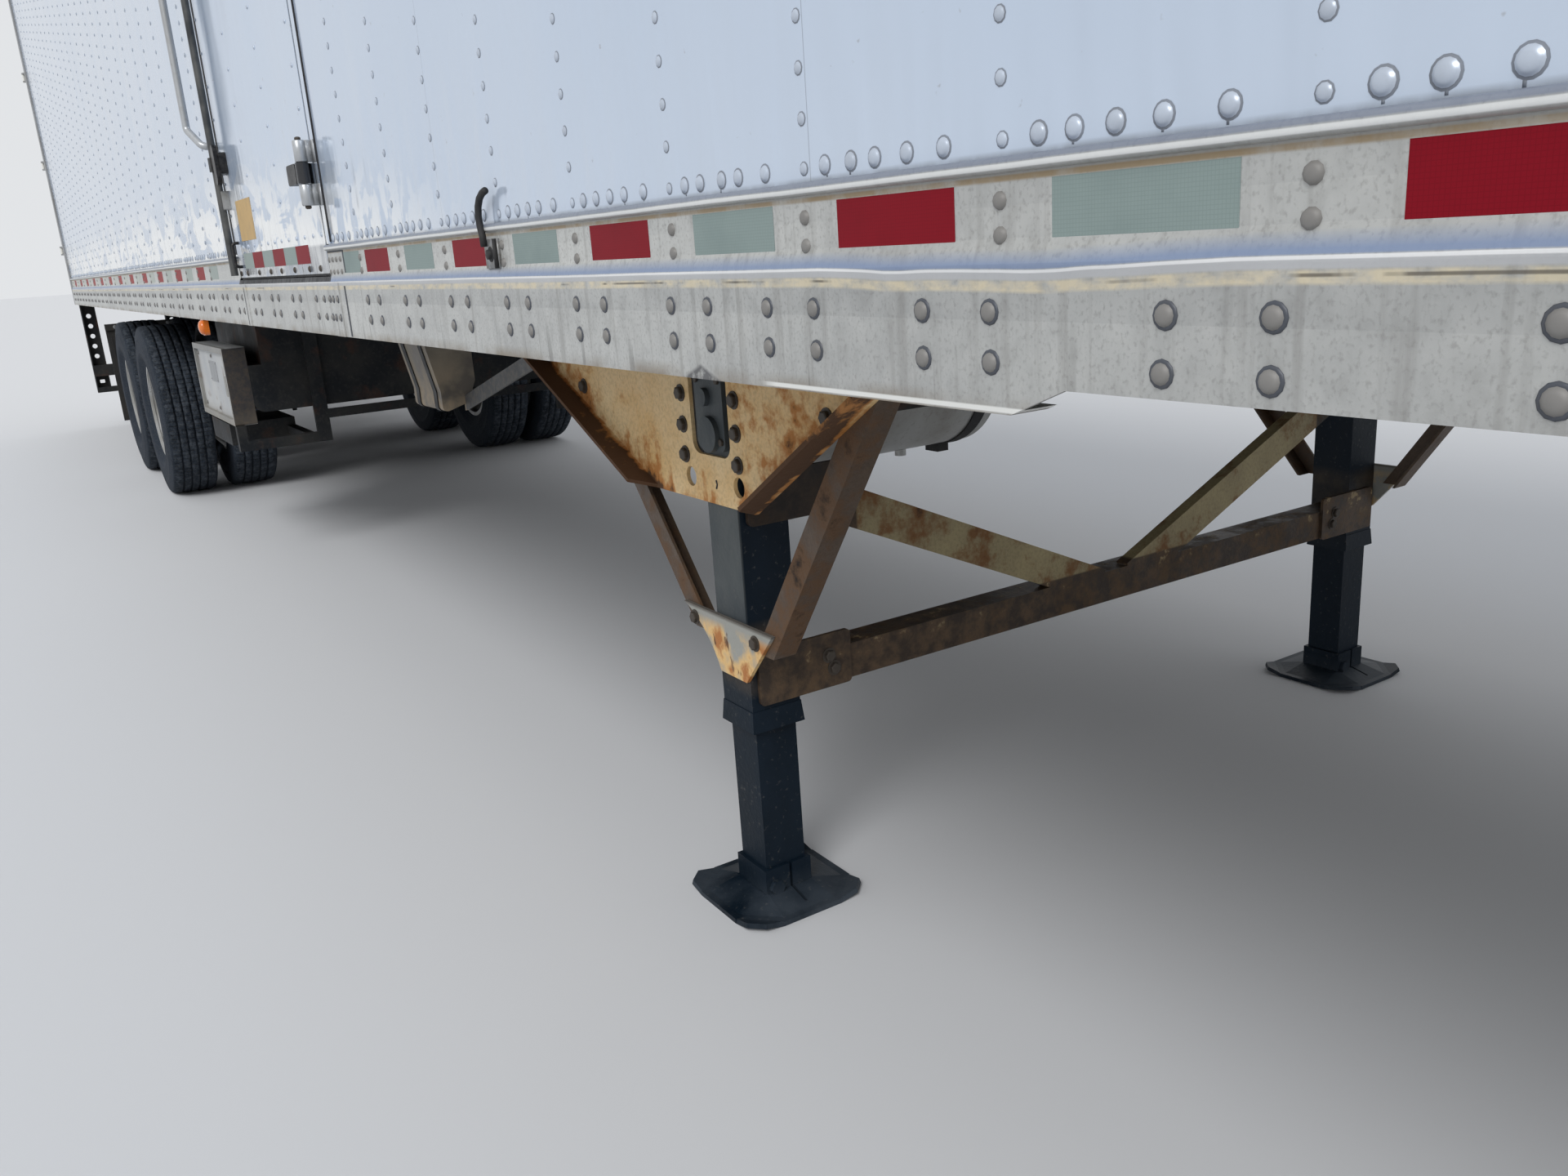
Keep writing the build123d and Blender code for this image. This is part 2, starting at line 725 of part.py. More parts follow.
# Feet: plates with turned-up corners, a low pyramid and a split socket round the tube
socket_metal = 8.0
socket_slit = 6.0
flap_reach = foot_corner / sqrt(2)
flap_tip = 30.0
foot_bolt_r = 17.0
foot_bolt_side = -31.0
foot_bolt_z = 36.0
foot_bolt_head = 10.0
slit_side = 6.0
flap_tilt = 16.4
pyramid_half = 122.0
pyramid_top_half = 58.0
with BuildPart() as foot:
    with BuildSketch(Plane.XY):
        Rectangle(foot_size, foot_size)
        chamfer(vertices(), foot_corner)
    extrude(amount=foot_plate)
    with BuildSketch(Plane.XY.offset(foot_plate)):
        Rectangle(2 * pyramid_half, 2 * pyramid_half)
        chamfer(vertices(), foot_corner - 8)
    with BuildSketch(Plane.XY.offset(foot_plate + foot_rise)):
        Rectangle(2 * pyramid_top_half, 2 * pyramid_top_half)
        chamfer(vertices(), 6)
    loft()
    for turn in range(4):
        way = radians(45 + 90 * turn)
        crease = foot_size / sqrt(2) - flap_reach
        tilt = radians(flap_tilt)
        lean = Vector(-sin(tilt) * cos(way), -sin(tilt) * sin(way), cos(tilt))
        across = Vector(sin(way), -cos(way), 0)
        with BuildSketch(Plane(origin=(crease * cos(way), crease * sin(way), 0), x_dir=across, z_dir=lean)):
            with BuildLine():
                Polyline(
                    (-flap_reach, 0),
                    (flap_reach, 0),
                    (flap_reach - flap_tip, flap_tip),
                    (flap_tip - flap_reach, flap_tip),
                    close=True,
                )
            make_face()
        extrude(amount=foot_plate)
    with BuildSketch(Plane.XY.offset(foot_plate)):
        Rectangle(inner_tube + 2 * socket_metal, inner_tube + 2 * socket_metal)
    extrude(amount=foot_socket)
    with BuildSketch(Plane.YZ.offset(inner_tube / 2 + socket_metal)):
        with Locations((foot_bolt_side, foot_bolt_z)):
            RegularPolygon(foot_bolt_r, 6)
    extrude(amount=foot_bolt_head)
    with BuildSketch(Plane.XY.offset(foot_plate)):
        Rectangle(inner_tube + 2 * seat_gap, inner_tube + 2 * seat_gap)
        with Locations((inner_tube / 2 + 30, slit_side)):
            Rectangle(60, socket_slit)
    extrude(amount=foot_socket, mode=Mode.SUBTRACT)
save(Pos(x_legs, -leg_y, 0) * foot.part + Pos(x_legs, leg_y, 0) * foot.part, "leg_feet")

# Wing plates: slotted trapezoids with flanges folded outwards along both slopes
plate_top = cross_bottom - seat_gap
plate_rise = plate_top - plate_low_z
rear_run = plate_rise / tan(radians(plate_rear_slope))
front_run = plate_rise / tan(radians(plate_front_slope))
plate_face = leg_y + leg_tube / 2 + seat_gap
slot_low = 905.0
slot_high = 1078.0
slot_rear = 78.0
slot_front = 60.0
plate_hole_r = 19.0
plate_hole_z = 857.0
plate_hole_rear = 95.0
plate_hole_front = 81.0
flange_cut_low = 36.0
flange_cut_high = 90.0
# One row per flange: end of the bottom edge, run of the slope, way it faces, side it is folded from
flange_rows = (
    (-plate_low_rear, -rear_run, radians(180 - plate_rear_slope), 1),
    (plate_low_front, front_run, radians(plate_front_slope), -1),
)
with BuildPart() as wing_plates:
    with BuildSketch(Plane.XZ.offset(plate_face)):
        with BuildLine():
            Polyline(
                (x_legs - plate_low_rear - rear_run, plate_top),
                (x_legs - plate_low_rear, plate_low_z),
                (x_legs + plate_low_front, plate_low_z),
                (x_legs + plate_low_front + front_run, plate_top),
                close=True,
            )
        make_face()
        with Locations((x_legs + mid(-slot_rear, slot_front), mid(slot_low, slot_high))):
            RectangleRounded(slot_rear + slot_front, slot_high - slot_low, 26, mode=Mode.SUBTRACT)
        with Locations((x_legs - plate_hole_rear, plate_hole_z), (x_legs + plate_hole_front, plate_hole_z)):
            Circle(plate_hole_r, mode=Mode.SUBTRACT)
    extrude(amount=plate_thick)
    for low_x, run, way, fold in flange_rows:
        slope_length = sqrt(run**2 + plate_rise**2)
        along = Vector(cos(way), 0, sin(way))
        inward = along.cross(Vector(0, -1, 0))
        with BuildSketch(Plane(origin=(x_legs + low_x, -plate_face, plate_low_z), x_dir=along, z_dir=inward)):
            with BuildLine():
                Polyline(
                    (0, 0),
                    (slope_length, 0),
                    (slope_length, plate_thick),
                    (slope_length - flange_cut_high, plate_thick + plate_flange),
                    (flange_cut_low, plate_thick + plate_flange),
                    (0, plate_thick),
                    close=True,
                )
            make_face()
        extrude(amount=fold * plate_thick)
    with BuildSketch(Plane.XY.offset(plate_top)):
        with Locations((x_legs, -plate_face)):
            Rectangle(3000, 300)
    extrude(amount=50, mode=Mode.SUBTRACT)
    mirror(about=Plane.XZ)
save(wing_plates.part, "wing_plates")

# V braces: angles from the wing plate corners down to a bent gusset on each leg
brace_angle = 48.0
brace_metal = 6.0
arm_low_z = 545.0
arm_high_z = 1060.0
gusset_top = 593.0
gusset_low = 478.0
gusset_top_rear = x_legs - 173.0
gusset_top_front = x_legs + 156.0
gusset_low_rear = x_legs - 41.0
gusset_low_front = x_legs + 54.0
gusset_waist = (x_legs - 90.0, 543.0)
arm_mark_z = 600.0
# One row per arm: inner edge at the mark height, its slope in x per z, width along x, way it leans
arm_rows = ((-128.0, -0.8625, 63.0, -1), (124.0, 0.701, 58.6, 1))
arm_face = leg_y + leg_tube / 2
with BuildPart() as leg_braces:
    for inner_edge, slope, width, way in arm_rows:
        low = x_legs + inner_edge + slope * (arm_low_z - arm_mark_z)
        high = x_legs + inner_edge + slope * (arm_high_z - arm_mark_z)
        edge_metal = brace_metal * sqrt(1 + slope**2)
        with BuildSketch(Plane.XZ.offset(arm_face)):
            with BuildLine():
                Polyline(
                    (low, arm_low_z),
                    (high, arm_high_z),
                    (high + way * width, arm_high_z),
                    (low + way * width, arm_low_z),
                    close=True,
                )
            make_face()
        extrude(amount=-brace_metal)
        with BuildSketch(Plane.XZ.offset(arm_face)):
            with BuildLine():
                Polyline(
                    (low + way * (width - edge_metal), arm_low_z),
                    (high + way * (width - edge_metal), arm_high_z),
                    (high + way * width, arm_high_z),
                    (low + way * width, arm_low_z),
                    close=True,
                )
            make_face()
        extrude(amount=-brace_angle)
    with BuildSketch(Plane.XZ.offset(arm_face + seat_gap)):
        with BuildLine():
            ThreePointArc((gusset_top_rear, gusset_top), gusset_waist, (gusset_low_rear, gusset_low))
            Polyline(
                (gusset_low_rear, gusset_low),
                (gusset_low_front, gusset_low),
                (gusset_top_front, gusset_top),
                (gusset_top_rear, gusset_top),
            )
        make_face()
    extrude(amount=plate_thick)
    mirror(about=Plane.XZ)
save(leg_braces.part, "leg_braces")

# K brace between the legs: a channel low down and two diagonal channels up to the legs
k_front = x_legs + leg_tube / 2 + seat_gap
k_metal = 6.0
k_low_z = (429.0, 500.0)
k_depth = 70.0
diagonal_width = 76.0
diagonal_depth = 32.0
diagonal_low = (50.0, 471.0)
diagonal_high = (858.0, 828.0)
k_reach = leg_y - leg_tube / 2 - seat_gap
# One row per end plate on each leg: place across, height, width, depth, corner
k_plates = ((868.0, 480.0, 214.0, 110.0, 10.0), (856.0, 824.0, 236.0, 96.0, 12.0))


def channel_profile(width, depth, metal):
    """A channel with its web on the front, drawn with local x to the front."""
    with Locations((-depth / 2, 0)):
        Rectangle(depth, width)
    with Locations((-(depth + metal) / 2, 0)):
        Rectangle(depth - metal, width - 2 * metal, mode=Mode.SUBTRACT)


with BuildPart() as cross_brace:
    with BuildSketch(Plane(origin=(k_front, -k_reach, mid(*k_low_z)), x_dir=(1, 0, 0), z_dir=(0, 1, 0))):
        channel_profile(k_low_z[1] - k_low_z[0], k_depth, k_metal)
    extrude(amount=2 * k_reach)
    for side in sides:
        start = Vector(k_front, side * diagonal_low[0], diagonal_low[1])
        end = Vector(k_front, side * diagonal_high[0], diagonal_high[1])
        with BuildSketch(Plane(origin=start, x_dir=(1, 0, 0), z_dir=(end - start).normalized())):
            channel_profile(diagonal_width, diagonal_depth, k_metal)
        extrude(amount=(end - start).length)
        with BuildSketch(Plane.YZ.offset(k_front)):
            for plate_y, plate_z, across, upright, corner in k_plates:
                with Locations((side * plate_y, plate_z)):
                    RectangleRounded(across, upright, corner)
        extrude(amount=k_metal + 2)
save(cross_brace.part, "cross_brace")

# Cross shaft that drives both legs, and the stowed crank on the road side
crank_r = 11.0
shaft_half = leg_y - leg_tube / 2 - seat_gap
crank_start = leg_y + leg_tube / 2 + boss_out + seat_gap
crank_y = 1160.0
crank_end_y = 1275.0
crank_run = 290.0
crank_drop = 40.0
with BuildPart() as crank:
    with BuildSketch(Plane.XZ.offset(shaft_half)):
        with Locations((x_legs, shaft_z)):
            Circle(shaft_r)
    extrude(amount=-2 * shaft_half)
    with BuildLine() as crank_line:
        FilletPolyline(
            (x_legs, crank_start, shaft_z),
            (x_legs, crank_y, shaft_z),
            (x_legs + crank_run, crank_y, shaft_z - crank_drop),
            (x_legs + crank_run, crank_end_y, shaft_z - crank_drop),
            radius=26,
        )
    with BuildSketch(Plane(origin=crank_line.line @ 0, z_dir=crank_line.line % 0)):
        Circle(crank_r)
    sweep()
save(crank.part, "crank_shaft")

# Fuel tank of the refrigeration unit, across the trailer behind the legs
tank_r = 280.0
tank_length = 1000.0
tank_x = x_legs - 1522.0
tank_y = 400.0
tank_z = cross_bottom - 30 - tank_r
dome = 55.0
drain = (40.0, 180.0)
drain_r = 20.0
filler = (120.0, 150.0)
filler_r = 42.0
with BuildPart() as fuel_tank:
    with BuildSketch(Plane.YZ.offset(tank_x)):
        with BuildLine():
            end = tank_length / 2
            rim = tank_z + tank_r
            waist = (end - dome / 5, tank_z + tank_r * 2 / 3)
            Line((tank_y - end, tank_z), (tank_y + end, tank_z))
            ThreePointArc((tank_y + end, tank_z), (tank_y + waist[0], waist[1]), (tank_y + end - dome, rim))
            Line((tank_y + end - dome, rim), (tank_y - end + dome, rim))
            ThreePointArc((tank_y - end + dome, rim), (tank_y - waist[0], waist[1]), (tank_y - end, tank_z))
        make_face()
    revolve(axis=Axis((tank_x, 0, tank_z), (0, 1, 0)))
    with BuildSketch(Plane.XY.offset(tank_z - tank_r - 16)):
        with Locations((tank_x + drain[0], tank_y + drain[1])):
            Circle(drain_r)
    extrude(amount=40)
    with BuildSketch(wall_plane(tank_y - end + dome / 3)):
        with Locations((tank_x + filler[0], tank_z + filler[1])):
            Circle(filler_r)
    extrude(amount=60)
save(fuel_tank.part, "fuel_tank")

strap_width = 50.0
strap_metal = 5.0
strap_offset = 380.0
saddle_depth = 32.0
strap_clamp = (70.0, 34.0)
strap_clamp_drop = 14.0
with BuildPart() as tank_straps:
    for shift in (-strap_offset, strap_offset):
        with BuildSketch(Plane.XZ.offset(-(tank_y + shift + strap_width / 2))):
            with Locations((tank_x, tank_z)):
                Circle(tank_r + strap_metal + seat_gap)
            with Locations((tank_x, cross_bottom - saddle_depth / 2)):
                Rectangle(2 * tank_r, saddle_depth - 2 * seat_gap)
            with Locations((tank_x, tank_z - tank_r - strap_clamp_drop)):
                Rectangle(*strap_clamp)
            with Locations((tank_x, tank_z)):
                Circle(tank_r + seat_gap, mode=Mode.SUBTRACT)
        extrude(amount=strap_width)
save(tank_straps.part, "fuel_tank_straps")

# Boxes hung under the floor ahead of the wheels
box_rear = x_legs - 5100.0
box_front = x_legs - 4009.0
box_curb = -1104.7
box_road = 540.0
box_low = 675.0
box_seam = 885.0
box_step = 60.0
post_depth = 24.0
frame_low = 512.0
# One row per member of the frame round the box: x, y and z pairs
frame_rows = (
    ((box_front, box_front + post_depth), (-858.0, -797.0), (frame_low, cross_bottom - seat_gap)),
    ((box_front, box_front + post_depth), (330.0, 391.0), (frame_low, cross_bottom - seat_gap)),
    ((box_front, box_front + post_depth), (-1160.0, -797.0), (frame_low, frame_low + 46)),
    ((box_front, box_front + post_depth), (-858.0, 391.0), (box_low - 60, box_low - 20)),
    ((box_front - 20, box_front + post_depth), (-1200.0, -1160.0), (frame_low, 625.7)),
    ((box_front - 967, box_front - 448), (-1160.0, -860.0), (487.0, 590.0)),
    ((box_front - 900, box_front - 860), (-1100.0, -1060.0), (580.0, box_low + 5)),
    ((box_front - 540, box_front - 500), (-1100.0, -1060.0), (580.0, box_low + 5)),
    ((box_front - 448, box_front - 1), (-900.0, -860.0), (frame_low, frame_low + 40)),
)
with BuildPart() as cross_box:
    with BuildSketch(Plane.YZ.offset(box_rear)):
        with Locations((mid(box_curb, box_road), mid(box_low, box_seam))):
            Rectangle(box_road - box_curb, box_seam - box_low)
            fillet(vertices().group_by(Axis.Y)[0], 45)
        with Locations((mid(box_curb + box_step, box_road - box_step), mid(box_seam, cross_bottom))):
            Rectangle(box_road - box_curb - 2 * box_step, cross_bottom - box_seam - 2 * seat_gap)
    extrude(amount=box_front - box_rear)
    for x, y, z in frame_rows:
        add(block(x, y, z))
save(cross_box.part, "cross_box")

cabinet_rear = x_legs - 4875.0
cabinet_front = x_legs - 4009.0
cabinet_y = (-1200.0, -1105.0)
cabinet_z = (626.0, 970.0)
cabinet_margin = 26.0
cabinet_recess = 16.0
latch_size = (46.0, 90.0)
latch_behind = 90.0
with BuildPart() as control_cabinet:
    with BuildSketch(wall_plane(cabinet_y[1])):
        with Locations((mid(cabinet_rear, cabinet_front), mid(*cabinet_z))):
            RectangleRounded(cabinet_front - cabinet_rear, cabinet_z[1] - cabinet_z[0], 8)
    extrude(amount=cabinet_y[1] - cabinet_y[0])
    with BuildSketch(wall_plane(cabinet_y[0])):
        with Locations((mid(cabinet_rear, cabinet_front), mid(*cabinet_z))):
            RectangleRounded(
                cabinet_front - cabinet_rear - 2 * cabinet_margin,
                cabinet_z[1] - cabinet_z[0] - 2 * cabinet_margin,
                14,
            )
    extrude(amount=-cabinet_recess, mode=Mode.SUBTRACT)
    with BuildSketch(wall_plane(cabinet_y[0] + cabinet_recess)):
        with Locations((cabinet_front - latch_behind, mid(*cabinet_z))):
            RectangleRounded(*latch_size, 8)
    extrude(amount=cabinet_recess - 4)
save(control_cabinet.part, "control_cabinet")

# Small wedge-shaped tank with two straps and a strut to the wing plate
small_rear = x_legs - 1650.0
small_front = x_legs - 1400.0
small_outline = (
    (-1081.0, cross_bottom - seat_gap),
    (-1081.0, 1060.0),
    (-1055.0, 935.0),
    (-1055.0, 877.0),
    (-980.0, 900.0),
    (-955.0, 958.0),
    (-955.0, cross_bottom - seat_gap),
)
strut_low = (small_front - 10, 897.0)
strut_high = (x_legs - 740.0, 1072.0)
strut_half = 20.0
tank_edge = (870.0, 1070.0)
band_width = 28.0
band_proud = 3.0
band_behind = 60.0
band_ahead = 30.0
with BuildPart() as strapped_tank:
    with BuildSketch(Plane.YZ.offset(small_rear)):
        with BuildLine():
            Polyline(*small_outline, close=True)
        make_face()
        fillet(vertices().filter_by(lambda v: tank_edge[0] < v.Y < tank_edge[1]), 14)
    extrude(amount=small_front - small_rear)
    for low in (small_rear + band_ahead, small_front - band_behind):
        with BuildSketch(Plane.YZ.offset(low)):
            with BuildLine():
                Polyline(*small_outline, close=True)
            make_face()
            fillet(vertices().filter_by(lambda v: tank_edge[0] < v.Y < tank_edge[1]), 14)
            offset(amount=band_proud, kind=Kind.INTERSECTION)
        extrude(amount=band_width)
    with BuildSketch(Plane.XZ.offset(leg_y + leg_tube / 2)):
        with BuildLine():
            Polyline(
                (strut_low[0], strut_low[1] - strut_half),
                (strut_high[0], strut_high[1] - strut_half),
                (strut_high[0], strut_high[1] + strut_half),
                (strut_low[0], strut_low[1] + strut_half),
                close=True,
            )
        make_face()
    extrude(amount=-8)
    with BuildSketch(Plane.XY.offset(cross_bottom - seat_gap)):
        with Locations((mid(small_rear, small_front), -1020)):
            Rectangle(400, 200)
    extrude(amount=20, mode=Mode.SUBTRACT)
save(strapped_tank.part, "strapped_tank")

# Slide rails: channels with a row of pin holes, under the crossmembers
slide_y = 540.0
slide_bottom = 1035.0
slide_width = 76.0
slide_metal = 9.0
slide_rear = x_rear + 300.0
slide_front = x_axles[0] + 1300.0
pin_pitch = 152.4
pin_hole_r = 17.0
pin_margin = 90.0
pin_count = int((slide_front - slide_rear - 2 * pin_margin) // pin_pitch) + 1
with BuildPart() as slide_rails:
    with BuildSketch(Plane.YZ.offset(slide_rear)):
        with Locations((slide_y, mid(slide_bottom, cross_bottom - seat_gap))):
            Rectangle(slide_width, cross_bottom - seat_gap - slide_bottom)
        with Locations((slide_y - slide_metal, mid(slide_bottom, cross_bottom - seat_gap))):
            Rectangle(slide_width, cross_bottom - seat_gap - slide_bottom - 2 * slide_metal, mode=Mode.SUBTRACT)
    extrude(amount=slide_front - slide_rear)
    with BuildSketch(Plane.XZ.offset(-slide_y - slide_width / 2 - 1)):
        for n in range(pin_count):
            with Locations((slide_front - pin_margin - n * pin_pitch, mid(slide_bottom, cross_bottom))):
                Circle(pin_hole_r)
    extrude(amount=slide_metal + 2, mode=Mode.SUBTRACT)
    mirror(about=Plane.XZ)
save(slide_rails.part, "slide_rails")

# Axle frame: side channels, cross tubes and windowed spring hangers
axle_frame_bottom = 880.0
axle_frame_top = slide_bottom - seat_gap
frame_front = x_axles[0] + 760.0
frame_rear = x_axles[1] - 930.0
spring_half = 560.0
spring_rise = 70.0
spring_thick = 60.0
spring_low = tyre_diameter / 2 + axle_tube_r + 12.0
hanger_bottom = spring_low + spring_rise + spring_thick / 2 + seat_gap
hanger_xs = (x_axles[0] + 580.0, mid(*x_axles), x_axles[1] - 580.0)
hanger_top_half = 95.0
hanger_low_half = 74.0
hanger_width = 96.0
cross_tube = 100.0
cross_tube_wall = 8.0
cross_tube_inset = 60.0
hanger_wall = 16.0
hanger_floor = 26.0
with BuildPart() as axle_frame:
    with BuildSketch(Plane.YZ.offset(frame_rear)):
        for side in sides:
            with Locations((side * slide_y, mid(axle_frame_bottom, axle_frame_top))):
                Rectangle(slide_width, axle_frame_top - axle_frame_bottom)
            with Locations((side * (slide_y - slide_metal), mid(axle_frame_bottom, axle_frame_top))):
                Rectangle(slide_width, axle_frame_top - axle_frame_bottom - 2 * slide_metal, mode=Mode.SUBTRACT)
    extrude(amount=frame_front - frame_rear)
    tube_half = slide_y + slide_width / 2 - slide_metal / 2
    with BuildSketch(Plane.XZ.offset(-tube_half)):
        for x in (frame_front - cross_tube_inset, *hanger_xs, frame_rear + cross_tube_inset):
            with Locations((x, mid(axle_frame_bottom, axle_frame_top))):
                RectangleRounded(cross_tube, cross_tube, 12)
                bore = cross_tube - 2 * cross_tube_wall
                RectangleRounded(bore, bore, 6, mode=Mode.SUBTRACT)
    extrude(amount=2 * tube_half)
    for side in sides:
        with BuildSketch(Plane.XZ.offset(-side * slide_y - hanger_width / 2)):
            for x in hanger_xs:
                for half_top, half_low, rise, cut in (
                    (hanger_top_half, hanger_low_half, 0, Mode.ADD),
                    (hanger_top_half - hanger_wall, hanger_low_half - hanger_wall, hanger_floor, Mode.SUBTRACT),
                ):
                    with BuildLine():
                        Polyline(
                            (x - half_top, axle_frame_bottom),
                            (x + half_top, axle_frame_bottom),
                            (x + half_low, hanger_bottom + rise),
                            (x - half_low, hanger_bottom + rise),
                            close=True,
                        )
                    make_face(mode=cut)
        extrude(amount=hanger_width)
save(axle_frame.part, "axle_frame")

# Leaf springs: bowed packs over each axle, with a shorter leaf below
with BuildPart() as leaf_springs:
    for x in x_axles:
        with BuildSketch(Plane.XZ):
            with BuildLine():
                top = ThreePointArc(
                    (x - spring_half, spring_low + spring_rise + spring_thick / 2),
                    (x, spring_low + spring_thick),
                    (x + spring_half, spring_low + spring_rise + spring_thick / 2),
                )
                low = ThreePointArc(
                    (x - spring_half, spring_low + spring_rise),
                    (x, spring_low),
                    (x + spring_half, spring_low + spring_rise),
                )
                Line(top @ 0, low @ 0)
                Line(top @ 1, low @ 1)
            make_face()
    extrude(amount=slide_width / 2, both=True)
spring_pair = leaf_springs.part
save(Pos(0, slide_y, 0) * spring_pair + Pos(0, -slide_y, 0) * spring_pair, "leaf_springs")

# Axles with stepped spindles, spring seats, dust shields, brake chambers and torque arms
axle_z = tyre_diameter / 2
tube_reach = track_half - 212.0
spindle_reach = track_half + 95.0
shield_r = 205.0
shield_thick = 5.0
chamber_y = 330.0
chamber_r = 82.0
camshaft_r = 16.0
arm_y = slide_y - hanger_width / 2 - 31
arm_r = 17.0
arm_ahead = 20.0
arm_rise = 40.0
eye_r = 30.0
eye_width = 60.0
seat_length = 150.0
seat_grow = 10.0
chamber_back = 255.0
chamber_length = 165.0
chamber_rise = 70.0
bracket_size = 90.0
bracket_back = 60.0
bracket_half = 30.0
camshaft_back = 100.0
with BuildPart() as axles:
    for x, arm_x in zip(x_axles, (hanger_xs[0] - 30, hanger_xs[1] - 30)):
        with BuildSketch(Plane.XZ.offset(-tube_reach)):
            with Locations((x, axle_z)):
                Circle(axle_tube_r)
        extrude(amount=2 * tube_reach)
        with BuildSketch(Plane.XZ.offset(-spindle_reach)):
            with Locations((x, axle_z)):
                Circle(spindle_r)
        extrude(amount=2 * spindle_reach)
        for side in sides:
            with BuildSketch(Plane.XY.offset(axle_z)):
                with Locations((x, side * slide_y)):
                    Rectangle(seat_length, slide_width + seat_grow)
            extrude(amount=spring_low - axle_z - seat_gap)
            with BuildSketch(Plane.XZ.offset(-side * tube_reach)):
                with Locations((x, axle_z)):
                    Circle(shield_r)
            extrude(amount=-side * shield_thick)
            with BuildSketch(Plane.YZ.offset(x - chamber_back)):
                with Locations((side * chamber_y, axle_z + chamber_rise)):
                    Circle(chamber_r)
            extrude(amount=chamber_length)
            with BuildSketch(Plane.XY.offset(axle_z - bracket_half)):
                with Locations((x - bracket_back, side * chamber_y)):
                    Rectangle(bracket_size, bracket_size)
            extrude(amount=2 * bracket_half)
            with BuildSketch(Plane.XZ.offset(-side * chamber_y)):
                with Locations((x - camshaft_back, axle_z)):
                    Circle(camshaft_r)
            extrude(amount=-side * (tube_reach - chamber_y + 1))
            eyes = ((x + axle_tube_r + arm_ahead, axle_z), (arm_x, hanger_bottom + arm_rise))
            with BuildSketch(Plane.XZ.offset(-side * arm_y - eye_width / 2)):
                with Locations(*eyes):
                    Circle(eye_r)
            extrude(amount=eye_width)
            start, end = ((eye_x, side * arm_y, eye_z) for eye_x, eye_z in eyes)
            add(rod(start, end, arm_r))
save(axles.part, "axles")

